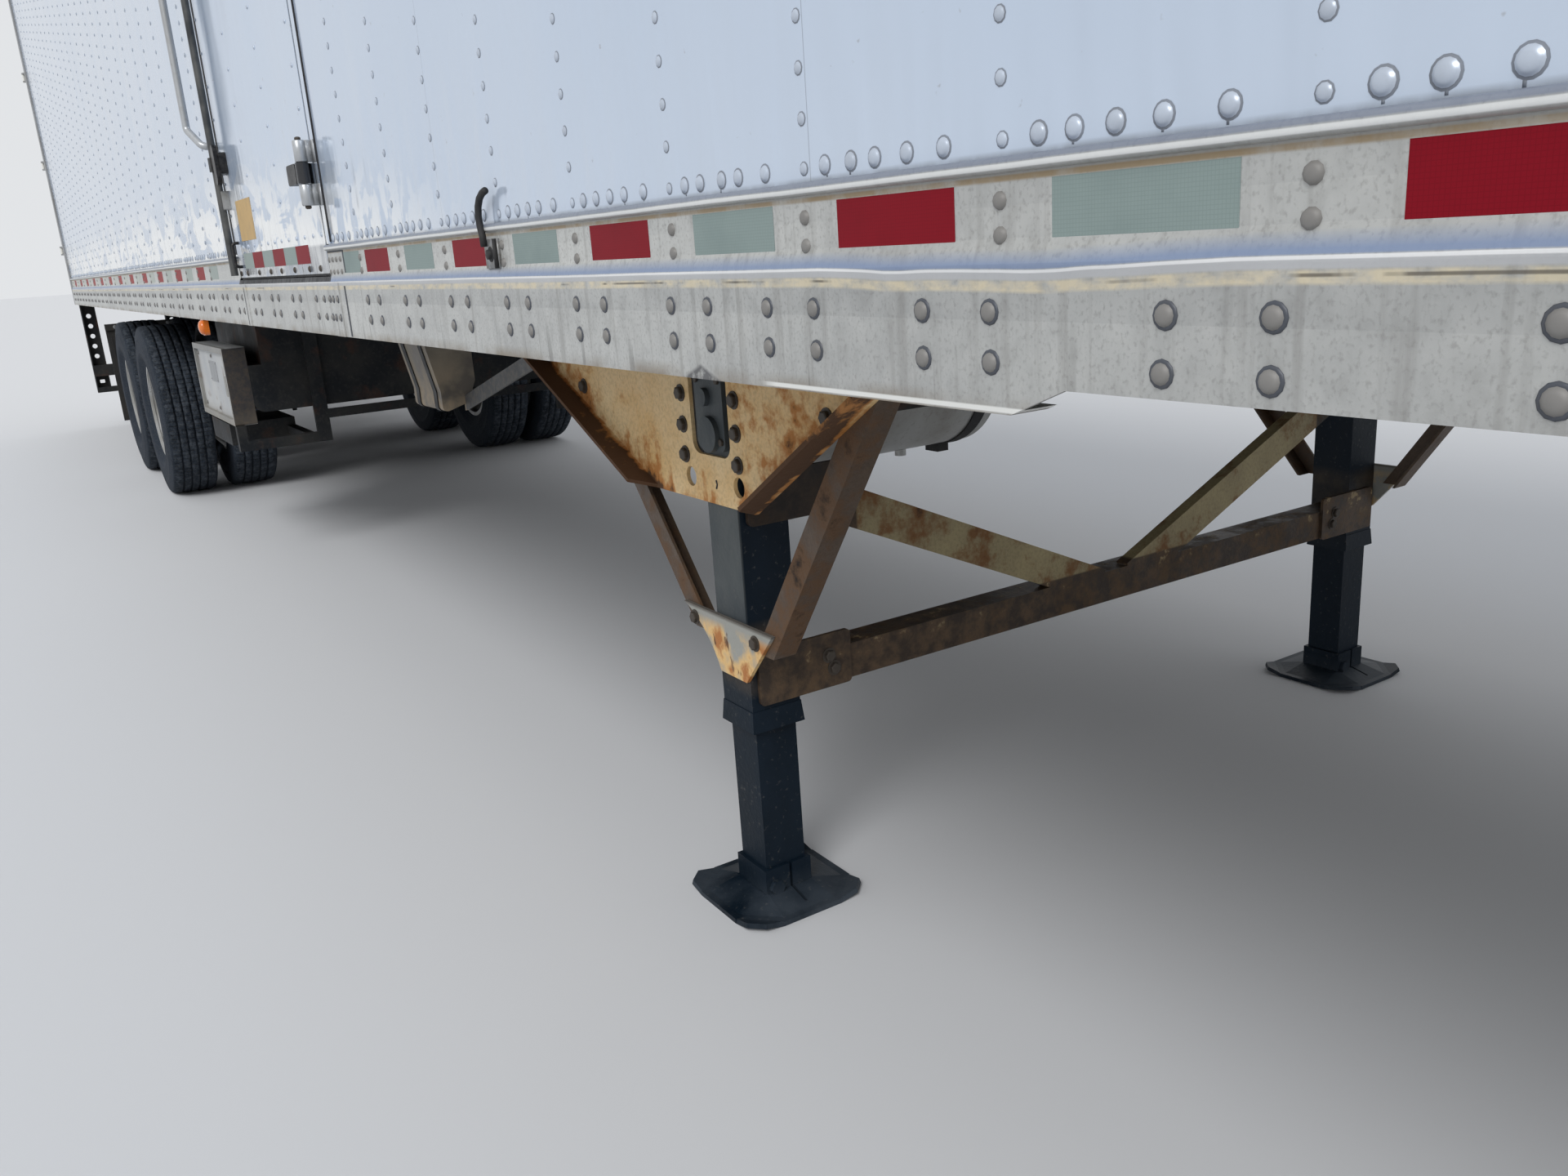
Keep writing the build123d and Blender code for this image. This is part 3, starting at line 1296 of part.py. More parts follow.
# Wheels: twin tyres on twin rims bolted back to back on the hub
drum_r = 215.0
rim_half = 105.0
disc_thick = 11.0
hub_barrel_r = 82.0
dish_r = 190.0
rim_r = rim_diameter / 2
tyre_r = tyre_diameter / 2
tread_half = 108.0
bead_half = 104.0
shoulder_out = 16.0
shoulder_drop = 20.0
shoulder_mid = (10.0, 9.0)
crown_drop = 4.0
well_depth = 24.0
rim_metal = 14.0
well_inset = 40.0
hub_reach = 140.0
drum_depth = 200.0
drum_wall = 12.0
hand_hole_r = 24.0
hand_hole_at = 225.0
for x, end in zip(x_axles, ("front", "rear")):
    for side, flank in zip(sides, ("curb", "road")):
        y = side * track_half
        with BuildPart() as tyres:
            with BuildSketch(Plane.YZ.offset(x)):
                for dual in (-dual_half, dual_half):
                    a = y + dual
                    with BuildLine():
                        Line((a - bead_half, axle_z + rim_r), (a + bead_half, axle_z + rim_r))
                        ThreePointArc(
                            (a + bead_half, axle_z + rim_r),
                            (a + tyre_width / 2, axle_z + mid(rim_r, tyre_r)),
                            (a + tread_half + shoulder_out, axle_z + tyre_r - shoulder_drop),
                        )
                        ThreePointArc(
                            (a + tread_half + shoulder_out, axle_z + tyre_r - shoulder_drop),
                            (a + tread_half + shoulder_mid[0], axle_z + tyre_r - shoulder_mid[1]),
                            (a + tread_half, axle_z + tyre_r - crown_drop),
                        )
                        ThreePointArc(
                            (a + tread_half, axle_z + tyre_r - crown_drop),
                            (a, axle_z + tyre_r),
                            (a - tread_half, axle_z + tyre_r - crown_drop),
                        )
                        ThreePointArc(
                            (a - tread_half, axle_z + tyre_r - crown_drop),
                            (a - tread_half - shoulder_mid[0], axle_z + tyre_r - shoulder_mid[1]),
                            (a - tread_half - shoulder_out, axle_z + tyre_r - shoulder_drop),
                        )
                        ThreePointArc(
                            (a - tread_half - shoulder_out, axle_z + tyre_r - shoulder_drop),
                            (a - tyre_width / 2, axle_z + mid(rim_r, tyre_r)),
                            (a - bead_half, axle_z + rim_r),
                        )
                    make_face()
            revolve(axis=Axis((x, 0, axle_z), (0, 1, 0)))
        save(tyres.part, f"tyres_{end}_{flank}")

        # Profile along the axle, outwards from the face where the two discs meet
        hub_plane = Plane(origin=(x, y, axle_z), x_dir=(0, side, 0), z_dir=(side, 0, 0))
        with BuildPart() as wheel:
            with BuildSketch(hub_plane):
                for facing in (-1, 1):
                    with BuildLine():
                        Polyline(
                            (facing * 0, hub_barrel_r),
                            (facing * disc_thick, hub_barrel_r),
                            (facing * disc_thick, dish_r),
                            (facing * (dual_half - well_inset), rim_r - well_depth),
                            (facing * (dual_half + rim_half - rim_metal), rim_r - rim_metal),
                            (facing * (dual_half + rim_half - rim_metal), rim_r - well_depth),
                            (facing * (dual_half + rim_half), rim_r - well_depth),
                            (facing * (dual_half + rim_half), rim_r - seat_gap),
                            (facing * (dual_half - rim_half), rim_r - seat_gap),
                            (facing * (dual_half - rim_half), rim_r - rim_metal),
                            (0, dish_r),
                            close=True,
                        )
                    make_face()
                with BuildLine():
                    Polyline(
                        (-190, spindle_r + pin_clearance),
                        (96, spindle_r + pin_clearance),
                        (96, 0),
                        (hub_reach, 0),
                        (hub_reach, 52),
                        (hub_reach - 8, 66),
                        (60, 72),
                        (disc_thick + 10, hub_barrel_r + 1),
                        (-disc_thick - 10, hub_barrel_r + 1),
                        (-disc_thick - 10, drum_r - 60),
                        (-40, drum_r),
                        (-drum_depth, drum_r),
                        (-drum_depth, drum_r - drum_wall),
                        (-52, drum_r - drum_wall),
                        (-60, hub_barrel_r),
                        (-190, 60),
                        close=True,
                    )
                make_face()
            revolve(axis=Axis((x, 0, axle_z), (0, 1, 0)))
            with BuildSketch(Plane.XZ.offset(-(y + side * disc_thick))):
                with Locations((x, axle_z)):
                    with PolarLocations(hand_hole_at, 10):
                        Circle(hand_hole_r)
            extrude(amount=-side * (dual_half - well_inset - disc_thick), mode=Mode.SUBTRACT)
        save(wheel.part, f"wheels_{end}_{flank}")

# Mud flaps behind the rear tyres, each on its own arm off the axle frame
flap_x = frame_rear + 30.0
flap_low = 270.0
flap_arm = (940.0, 985.0)
flap_inner = track_half - 300.0
flap_outer = half_width - 10.0
with BuildPart() as mud_flaps:
    add(block((flap_x - 4, flap_x + 4), (-flap_outer, -flap_inner), (flap_low, flap_arm[1])))
    arm_inner = slide_y + slide_width / 2 + seat_gap
    add(block((flap_x - 20, flap_x + 20), (-flap_outer, -arm_inner), flap_arm))
    mirror(about=Plane.XZ)
save(mud_flaps.part, "mud_flaps")

# Rear underride guard: perforated end posts, inner posts, a bumper bar and low steps
guard_x = (x_rear + 14.0, x_rear + 84.0)
guard_metal = 8.0
guard_outer = 1265.0
guard_post = 115.0
guard_low = 313.0
guard_bar_z = (460.0, 560.0)
guard_inner_y = 470.0
guard_step_z = (guard_low, guard_low + 46.0)
hole_r = 20.0
with BuildPart() as underride_guard:
    for inner_y in (guard_outer - guard_post, guard_inner_y):
        foot = (guard_x[0], inner_y + guard_post / 2, guard_low)
        with BuildSketch(Plane(origin=foot, x_dir=(-1, 0, 0), z_dir=(0, 0, 1))):
            channel_profile(guard_post, guard_x[1] - guard_x[0], guard_metal)
        extrude(amount=rail_bottom - seat_gap - guard_low)
    with BuildSketch(Plane.YZ.offset(guard_x[0] - 1)):
        for z in (640.0, 730.0, 820.0, 910.0, 1000.0):
            with Locations((guard_outer - guard_post / 2, z), (guard_inner_y + guard_post / 2, z)):
                Circle(hole_r)
        with Locations((guard_outer - guard_post / 2, 410)):
            RectangleRounded(40, 30, 5)
    extrude(amount=guard_metal + 2, mode=Mode.SUBTRACT)
    add(block(guard_x, (0, guard_outer), guard_bar_z))
    add(block(guard_x, (guard_inner_y, guard_outer), guard_step_z))
    mirror(about=Plane.XZ)
save(underride_guard.part, "underride_guard")

# Dock bumpers on the sill
bumper_width = 150.0
bumper_height = 110.0
with BuildPart() as dock_bumpers:
    with BuildSketch(Plane.YZ.offset(x_rear - seat_gap)):
        for y in (-1100.0, -300.0, 300.0, 1100.0):
            with Locations((y, rail_bottom + 70)):
                Rectangle(bumper_width, bumper_height)
    extrude(amount=-(bumper_reach - seat_gap))
    fillet(dock_bumpers.edges().filter_by(Axis.Y).group_by(Axis.X)[0], 18)
save(dock_bumpers.part, "dock_bumpers")

# Lamps: round ones in the sill, slots in the header and on the nose, and one under each rail
lamp_out = 8.0
rail_lamp_x = x_legs - 3737.0
nose_lamp_z = body_height - 62.0
nose_lamp_y = 1120.0
with BuildPart() as lamps:
    with BuildSketch(Plane.YZ.offset(x_rear + lamp_pocket - seat_gap)):
        with Locations(*[(y, sill_lamp_z) for y in sill_lamps]):
            Circle(lamp_r)
        with Locations(*[(y, header_lamp_z) for y in header_lamps]):
            SlotOverall(marker_length, marker_height)
    extrude(amount=-(lamp_pocket - seat_gap + lamp_out))
    with BuildSketch(Plane.YZ.offset(x_nose + seat_gap)):
        with Locations((-nose_lamp_y, nose_lamp_z), (nose_lamp_y, nose_lamp_z)):
            SlotOverall(marker_length, marker_height)
    extrude(amount=24)
    for side in sides:
        with BuildSketch(Plane.XZ.offset(-side * (half_width - 22))):
            with Locations((rail_lamp_x, rail_bottom - seat_gap - 32)):
                Rectangle(64, 64)
                fillet(vertices().group_by(Axis.Y)[0], 14)
        extrude(amount=-side * 20)
save(lamps.part, "lamps")

# Grab bar beside the side door
bar_r = 12.0
bar_out = 68.0
bar_x = x_door_rear - 145.0
bar_foot_x = x_door_rear - 72.0
bar_foot_z = 1700.0
bar_top = 2500.0
with BuildPart() as grab_bar:
    with BuildLine() as bar_line:
        FilletPolyline(
            (bar_foot_x, -wall_outer - seat_gap, bar_foot_z),
            (bar_foot_x, -wall_outer - 40, bar_foot_z),
            (bar_x, -wall_outer - bar_out, bar_foot_z + 60),
            (bar_x, -wall_outer - bar_out, bar_top),
            (bar_x, -wall_outer - seat_gap, bar_top),
            radius=22,
        )
    with BuildSketch(Plane(origin=bar_line.line @ 0, z_dir=bar_line.line % 0)):
        Circle(bar_r)
    sweep()
save(grab_bar.part, "grab_bar")

# Holdback for the open side door: a small bracket on the rail with a bent hook
hold_x = x_legs - 216.0
hold_z = 1270.0
hold_height = 50.0
hold_width = 50.0
hold_depth = 28.0
hook_r = 7.0
hook_y = -(half_width + 9.5)
# Bends of the hook as run along the trailer and height above the bracket's foot
hook_bends = ((-9, 48), (-9, 75), (-50, 130), (-38, 170), (12, 192))
with BuildPart() as door_holdback:
    with BuildSketch(Plane.XY.offset(hold_z)):
        with Locations((hold_x, -(half_width - rail_setback + seat_gap + hold_depth / 2))):
            RectangleRounded(hold_width, hold_depth, 8)
    extrude(amount=hold_height)
    with BuildLine() as hook_line:
        FilletPolyline(*[(hold_x + run, hook_y, hold_z + rise) for run, rise in hook_bends], radius=18)
    with BuildSketch(Plane(origin=hook_line.line @ 0, z_dir=hook_line.line % 0)):
        Circle(hook_r)
    sweep()
save(door_holdback.part, "door_holdback")

# Refrigeration unit on the front wall: a rounded housing with a louvred grille and door seams
unit_width = 2070.0
unit_height = 1900.0
unit_bottom = 2150.0
unit_round = 110.0
grille_width = 1560.0
grille_height = 560.0
grille_depth = 30.0
grille_z = unit_bottom + unit_height - 400.0
louvre_count = 11
louvre_height = 26.0
seam = 6.0
unit_front = x_nose + unit_reach
with BuildPart() as unit:
    with BuildSketch(Plane.XY.offset(unit_bottom)):
        with Locations((x_nose + seat_gap + (unit_reach - seat_gap) / 2, 0)):
            Rectangle(unit_reach - seat_gap, unit_width)
    extrude(amount=unit_height)
    fillet(unit.edges().filter_by(Axis.Z).group_by(Axis.X)[-1], unit_round)
    fillet(unit.faces().sort_by(Axis.Z)[-1].edges().filter_by(lambda e: e.center().X > x_nose + 1), 60)
    fillet(unit.faces().sort_by(Axis.Z)[0].edges().filter_by(lambda e: e.center().X > x_nose + 1), 40)
    with BuildSketch(Plane.YZ.offset(unit_front)):
        with Locations((0, grille_z)):
            RectangleRounded(grille_width, grille_height, 40)
    extrude(amount=-grille_depth, mode=Mode.SUBTRACT)
    with BuildSketch(Plane.YZ.offset(unit_front - grille_depth)):
        with Locations((0, grille_z)):
            with GridLocations(0, grille_height / louvre_count, 1, louvre_count):
                Rectangle(grille_width + 2, louvre_height)
    extrude(amount=grille_depth - 8)
    with BuildSketch(Plane.YZ.offset(unit_front)):
        with Locations((0, grille_z - grille_height / 2 - 60)):
            Rectangle(unit_width - 2 * unit_round, seam)
        with Locations((0, unit_bottom + 100)):
            Rectangle(unit_width - 2 * unit_round, seam)
        for y in (-unit_width / 2 + unit_round + 60, 0.0, unit_width / 2 - unit_round - 60):
            with Locations((y, mid(unit_bottom + 100, grille_z - grille_height / 2 - 60))):
                Rectangle(seam, grille_z - grille_height / 2 - 160 - unit_bottom)
    extrude(amount=-seam, mode=Mode.SUBTRACT)
save(unit.part, "refrigeration_unit")

# Air and electric connectors on the front wall: a plate, two couplings and a lidded socket
connector_z = 1560.0
coupling_y = 150.0
with BuildPart() as connectors:
    with BuildSketch(Plane.YZ.offset(x_nose + seat_gap)):
        with Locations((0, connector_z)):
            RectangleRounded(460, 150, 12)
    extrude(amount=5)
    for y in (-coupling_y, coupling_y):
        with BuildSketch(Plane.YZ.offset(x_nose + 4)):
            with Locations((y, connector_z)):
                Circle(20)
        extrude(amount=40)
        with BuildSketch(Plane.YZ.offset(x_nose + 40)):
            with Locations((y, connector_z - 12)):
                SlotOverall(96, 62, rotation=90)
            with Locations((y, connector_z - 22)):
                Circle(14, mode=Mode.SUBTRACT)
        extrude(amount=26)
    with BuildSketch(Plane.YZ.offset(x_nose + 4)):
        with Locations((0, connector_z)):
            Circle(34)
    extrude(amount=52)
    with BuildSketch(Plane.YZ.offset(x_nose + 56)):
        with Locations((0, connector_z + 6)):
            RectangleRounded(78, 84, 12)
    extrude(amount=8)
save(connectors.part, "air_and_electric_connectors")
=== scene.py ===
import math
import random

import bpy
from mathutils import Matrix, Vector


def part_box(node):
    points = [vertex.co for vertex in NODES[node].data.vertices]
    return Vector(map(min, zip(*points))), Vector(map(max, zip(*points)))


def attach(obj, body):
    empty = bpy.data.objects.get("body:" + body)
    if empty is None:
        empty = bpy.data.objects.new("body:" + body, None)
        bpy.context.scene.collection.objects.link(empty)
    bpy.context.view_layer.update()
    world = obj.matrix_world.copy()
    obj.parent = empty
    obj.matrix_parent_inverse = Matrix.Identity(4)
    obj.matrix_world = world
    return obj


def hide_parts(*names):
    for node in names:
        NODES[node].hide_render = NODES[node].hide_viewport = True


# Looks of the refrigerated van trailer. Metres, in the CAD frame: +X to the nose, -Y the curb side, +Z up.
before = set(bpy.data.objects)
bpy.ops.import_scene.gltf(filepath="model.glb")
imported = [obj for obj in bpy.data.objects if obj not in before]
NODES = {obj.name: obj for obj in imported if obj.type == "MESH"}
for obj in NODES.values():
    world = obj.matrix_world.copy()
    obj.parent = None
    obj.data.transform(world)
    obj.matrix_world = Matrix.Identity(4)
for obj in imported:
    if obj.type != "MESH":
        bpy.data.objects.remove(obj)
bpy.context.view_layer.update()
TRAILER = "trailer"
dice = random.Random(41)


def middle(name):
    """The place of a CAD node's middle along the trailer."""
    return sum(corner.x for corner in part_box(name)) / 2


# Places measured from the landing legs, the rear frame and the nose
XL = middle("leg_tubes")
FRAME_DEPTH = 0.11
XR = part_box("rear_frame")[1].x - FRAME_DEPTH
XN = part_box("front_wall")[1].x
WALL_Y = 1.2825
BAND_Y = 1.2875
LOW_Y = 1.2955
DOOR_Y = 1.2865
DOOR_FRONT = XL - 1.436
DOOR_REAR = DOOR_FRONT - 1.259
DOOR_LOW = 1.268
DOOR_HIGH = DOOR_LOW + 1.994
DOOR_GAP, DOOR_GAP_Y = 0.0055, (-1.2845, -1.262)
HINGE_ZS = (DOOR_LOW + 0.245, DOOR_LOW + 0.997, DOOR_LOW + 1.749)
SEAM_PITCH = 1.268
SEAM_START = 0.778
SIPES = 120
AXLE_Z = 0.51
AXLE_XS = {end: middle(f"wheels_{end}_curb") for end in ("front", "rear")}
FLANKS = ((-1, "curb"), (1, "road"))
TAPE_CELL = 0.0035
BOW_PITCH = 0.61


# Materials
def srgb(screen):
    """A colour from its 0 to 255 screen values."""
    parts = [v / 255 for v in screen]
    return (*(v / 12.92 if v <= 0.04045 else ((v + 0.055) / 1.055) ** 2.4 for v in parts), 1)


class Wire:
    """A value in a paint's nodes. Signs and abs() on it add Math nodes."""

    def __init__(self, paint, socket):
        self.paint, self.socket = paint, socket

    def __add__(self, other):
        return self.paint.math("ADD", self, other)

    def __sub__(self, other):
        return self.paint.math("SUBTRACT", self, other)

    def __rsub__(self, other):
        return self.paint.math("SUBTRACT", other, self)

    def __mul__(self, other):
        return self.paint.math("MULTIPLY", self, other)

    def __abs__(self):
        return self.paint.math("ABSOLUTE", self)

    __radd__, __rmul__ = __add__, __mul__


class Paint:
    """A procedural material under construction: coordinates in metres, colours in screen values."""

    def __init__(self, name, base=None, rough=0.5, metal=0, spec=0.5, coat=0):
        self.mat = bpy.data.materials.new(name)
        self.mat.use_nodes = True
        self.tree = self.mat.node_tree
        self.shader = self.tree.nodes["Principled BSDF"]
        self.base = base
        plain = {"Roughness": rough, "Metallic": metal, "Specular IOR Level": spec, "Coat Weight": coat}
        for name, value in plain.items():
            self.shader.inputs[name].default_value = value
        self.coords = self.node("TexCoord", "Object")
        axes = self.node("SeparateXYZ", "X", {"Vector": self.coords}).socket.node.outputs
        self.x, self.y, self.z = (Wire(self, output) for output in axes)

    def put(self, socket, value):
        if isinstance(value, Wire):
            self.tree.links.new(value.socket, socket)
        else:
            socket.default_value = srgb(value) if socket.type == "RGBA" else value

    def node(self, kind, output, values=(), **settings):
        """A new node with its inputs and settings, as one of its outputs."""
        n = self.tree.nodes.new("ShaderNode" + kind)
        for key, value in settings.items():
            setattr(n, key, value)
        for key, value in dict(values).items():
            self.put(n.inputs[key], value)
        return Wire(self, n.outputs[output])

    def noise(self, scale, detail, stretch=(1, 1, 1), shift=0, rough=0.55, distort=0):
        """Noise from 0 to 1 with the given number of cells in a metre, stretched along the axes."""
        move = (shift, shift * 0.7, -shift)
        place = self.node("Mapping", 0, {"Vector": self.coords, "Location": move, "Scale": stretch})
        values = {"Vector": place, "Scale": scale, "Detail": detail, "Roughness": rough}
        return self.node("TexNoise", "Fac", {**values, "Distortion": distort})

    def math(self, what, a, b=0):
        return self.node("Math", 0, {0: a, 1: b}, operation=what)

    def teeth(self, value):
        """Distance from the middle of each whole step of a value, 0 to 0.5."""
        return abs(self.math("FRACT", value) - 0.5)

    def span(self, value, low, high, out_low=0, out_high=1):
        """A value mapped from low, high to the given range and held there."""
        ends = {"From Min": low, "From Max": high, "To Min": out_low, "To Max": out_high}
        return self.node("MapRange", "Result", {"Value": value, **ends}, clamp=True)

    def band(self, value, low, high, soft):
        """1 between low and high, fading to 0 over soft on both sides."""
        return self.span(value, low - soft, low) * self.span(value, high, high + soft, 1, 0)

    def mix(self, share, a, b):
        return self.node("Mix", 2, {0: share, 6: a, 7: b}, data_type="RGBA")

    def lay(self, share, tone):
        """Lay a tone over the base colour."""
        self.base = self.mix(share, self.base, tone)

    def fade(self, value, low, high, tone, most=1):
        """Lay a tone over the base colour as a value goes from low to high."""
        self.lay(self.span(value, low, high, 0, most), tone)

    def bump(self, height, distance, strength=1, over=None):
        values = {"Strength": strength, "Distance": distance, "Height": height}
        if over is not None:
            values["Normal"] = over
        return self.node("Bump", 0, values)

    def done(self, normal=None, roughness=None):
        """The finished material, with a bump and a roughness map where given."""
        for name, value in (("Base Color", self.base), ("Normal", normal), ("Roughness", roughness)):
            if value is not None:
                self.put(self.shader.inputs[name], value)
        return self.mat


def rail_paint():
    """Dull aluminium: stone-like mottling, a painted sky reflection and painted highlights at the crease, a
    cream stain under it, dirt under the lip, painted light and shade on the lip and painted shade under the
    side door.
    """
    p = Paint("rail_aluminium", (176, 177, 175), rough=0.45, metal=0.35)
    sway = p.noise(1.7, 3, (1, 0, 0), shift=7)
    dented = p.band(p.x, XL + 0.92, XL + 1.22, 0.12)
    z = p.z + (sway - 0.5) * (0.004 + dented * 0.03)
    grain = p.noise(230, 3, (1, 1, 0.8))
    blotch = p.noise(45, 5, (1, 1, 0.7), shift=4)
    mottle = p.noise(2.6, 5, (1, 1, 1.5), shift=3)
    streak = p.noise(11, 5, (6, 1, 0.35))
    p.fade(mottle, 0.35, 0.65, (194, 195, 192))
    p.fade(blotch, 0.46, 0.7, (206, 206, 203), 0.4)
    p.fade(blotch, 0.46, 0.3, (142, 141, 138), 0.35)
    p.fade(grain, 0.52, 0.68, (128, 126, 123), 0.45)
    p.fade(streak, 0.54, 0.72, (138, 136, 132), 0.5)
    p.fade(p.x, XL - 0.5, XL + 1.6, (148, 148, 146), 0.35)
    # From the foot up: grime, cream stain, painted highlights on the smooth shoulder and the crease's edge, a
    # painted sky reflection in blue over the crease, grime under the lip
    grime = p.span(p.z, 1.108, 1.13, 1, 0) * p.span(p.noise(9, 6), 0.4, 0.62, 0.1, 0.85)
    p.lay(grime, (124, 110, 90))
    cream = p.band(z, 1.2285, 1.2355, 0.003) * p.span(p.noise(38, 6, (1, 1, 2)), 0.3, 0.6)
    p.lay(cream * 0.75, (226, 212, 180))
    line = p.band(z, 1.2325, 1.234, 0.001) * p.span(p.noise(5, 5, (1, 1, 0), shift=6), 0.56, 0.6)
    p.lay(line * 0.8, (96, 90, 80))
    # Painted highlight on the rounded shoulder under the crease
    p.lay(p.band(z, 1.2385, 1.2435, 0.002) * 0.85, (190, 191, 193))
    # Painted reflection of the sky on the slope over the crease
    sky_reflection = p.span(z, 1.2465, 1.248) * p.span(z, 1.251, 1.264, 0.85, 0)
    p.lay(sky_reflection, (124, 142, 174))
    # Painted highlight along the crease's edge, stronger towards the nose
    edge = p.band(z, 1.2443, 1.2462, 0.0008) * p.span(p.x, XL - 3.0, XL + 1, 0.2, 0.9)
    p.lay(edge, (236, 236, 236))
    tan = p.band(p.z, 1.318, 1.3215, 0.0022) * p.span(p.noise(16, 5), 0.32, 0.55, 0.3, 0.9)
    p.lay(tan, (146, 126, 94))
    # The rolled lip: painted shade on its lower half, a painted highlight across its middle, a painted
    # blue-grey sky reflection on its top
    lip = p.z + (p.noise(3, 3, (1, 0, 0), shift=11) - 0.5) * 0.004
    p.lay(p.band(lip, 1.3225, 1.3275, 0.001) * 0.5, (150, 150, 148))
    p.lay(p.band(lip, 1.3275, 1.3312, 0.001) * 0.8, (228, 229, 228))
    p.lay(p.band(lip, 1.3335, 1.345, 0.002) * 0.75, (116, 126, 146))
    # Runs of dirt under the lower bolts, and a pale row along the dented foot: scuffs with a painted
    # highlight
    run = p.span(p.noise(26, 3, (1.6, 1, 0.12), shift=15), 0.62, 0.68) * p.span(p.z, 1.12, 1.19, 0.45, 0)
    p.lay(run, (104, 102, 98))
    scuff_and_highlight = p.band(p.x, XL + 0.7, XL + 1.12, 0.05) * p.band(p.z, 1.1125, 1.116, 0.0015)
    p.lay(scuff_and_highlight * p.span(p.noise(6, 4, (1, 0, 0), shift=21), 0.38, 0.46), (226, 226, 222))
    over_slot = abs((p.x - (XL + 0.518)) * 18) + (p.z - 1.11) * 48
    smear = p.span(over_slot, 0.75, 1, 0.8, 0) * p.span(p.noise(70, 4, shift=23), 0.3, 0.5)
    p.lay(smear, (66, 66, 70))
    # Painted shade: a dark band in the gap under the side door, on the curb side
    under_door_shade = p.band(p.x, DOOR_REAR - 0.02, DOOR_FRONT + 0.02, 0.001) * p.band(p.z, 1.2478, 1.2662, 0.0006)
    p.lay(under_door_shade * p.span(p.y, 0, 0.1, 1, 0), (24, 26, 30))
    dent = p.noise(3.2, 2, (1, 1, 2))
    near_crease = p.span(abs(p.z - 1.246), 0, 0.05, 1, 0.15)
    return p.done(
        p.bump(dent * near_crease, 0.03, 0.7, p.bump(grain, 0.0005, 0.6)),
        p.span(blotch, 0.3, 0.7, 0.36, 0.58),
    )


def wall_paint(name, tone, inner, straps=None, metal=0.25, rough=0.16, seams=True, buckle_reflections=True):
    """Glossy prepainted sheet, buckled near the rail, with painted reflections of the bright ground low down
    and dust with painted shade along its foot; inner and straps tell other faces by a mask.
    """
    p = Paint(name, tone, rough=rough, metal=metal, coat=0.35)
    p.shader.inputs["Coat Roughness"].default_value = 0.08
    cloud = p.noise(0.7, 3)
    p.fade(cloud, 0.35, 0.65, (198, 208, 222), 0.4)
    if buckle_reflections:
        # Painted reflections of the bright ground in the buckled sheet over the rail: strong behind the door,
        # weak at the legs, none ahead of them
        behind = p.span(p.x, XL - 2.6, XL - 0.25, 1, 0)
        top = p.span(behind, 0, 1, 1.46, 1.66)
        reach = p.span(top - p.z, 0, 0.2)
        near = p.noise(4.6, 3, (2.0, 1, 1.1), shift=2, distort=1.3)
        far = p.noise(4.6, 4, (0.7, 1, 1.5), shift=5, distort=1.5)
        lift = far * behind + near * (1 - behind) + reach * 0.05
        share = reach * p.span(behind, 0.02, 0.25) * p.span(p.y, -0.1, 0.1, 1, 0.3)
        p.lay(share * 0.45, (158, 174, 196))
        p.lay(share * p.span(lift, 0.5, 0.535), (236, 237, 236))
    # Painted reflection of the bright ground: the lower sheet lighter ahead of the legs
    low = p.span(p.z, 1.36, 2.1, 0.3, 0)
    p.lay(low * p.span(p.x, XL - 0.9, XL), (206, 213, 222))
    # A dark line along the foot of the sheet over the rail's lip: dust and painted shade in the joint
    dusty = p.span(p.noise(30, 4, (1, 1, 0.3), shift=19), 0.3, 0.6, 0.4, 1)
    p.lay(p.span(p.z, 1.3365, 1.344, 0.9, 0) * dusty, (112, 116, 122))
    p.fade(p.noise(46, 3, shift=5), 0.7, 0.74, (150, 150, 150), 0.5)
    if seams:
        # A lap seam beside every fourth column of rivets
        turn = p.math("FRACT", (p.x - (XL + SEAM_START)) * (1 / SEAM_PITCH))
        p.lay(p.span(turn, 0, 0.0016, 0.75, 0), (112, 116, 124))
    scuff = p.span(p.z, 1.36, 2.3, 0.6, 0.1) * p.span(p.noise(14, 8, (1, 1, 0.4)), 0.45, 0.75)
    p.lay(inner(p), p.mix(scuff, (220, 219, 213), (168, 164, 154)))
    if straps is not None:
        p.lay(straps(p), (38, 39, 42))
    wave = p.noise(1.8, 2, (1, 1, 0.4), distort=0.3)
    pucker = p.noise(8, 2, (1.6, 1, 0.35), shift=4)
    near_rail = p.span(p.z, 1.34, 1.72, 1, 0.06)
    return p.done(p.bump(pucker * near_rail, 0.01, 0.8, p.bump(wave, 0.03, 0.6)))


def within(skin):
    """A mask of all that lies closer to the middle plane than an outer skin."""
    return lambda p: p.span(abs(p.y), skin - 0.0005, skin, 1, 0)


def side_door_straps(p):
    return p.span(p.y, -1.2892, -1.2888, 1, 0)


def inside_ends(p):
    return p.span(p.x, XR - 0.1075, XR - 0.107) * p.span(p.x, XN - 0.004, XN - 0.0035, 1, 0)


def plain_paint(name, tone, dusty, rough, metal=0, amount=0.5):
    """A painted surface with soft dust and wear."""
    p = Paint(name, tone, rough=rough, metal=metal)
    cloud = p.noise(3.5, 6)
    speck = p.noise(60, 4, shift=6)
    p.fade(cloud, 0.4, 0.7, dusty, amount)
    p.fade(speck, 0.55, 0.75, dusty, amount * 0.8)
    return p.done(p.bump(speck, 0.0006, 0.7), p.span(cloud, 0.3, 0.7, rough * 0.8, min(1, rough * 1.3)))


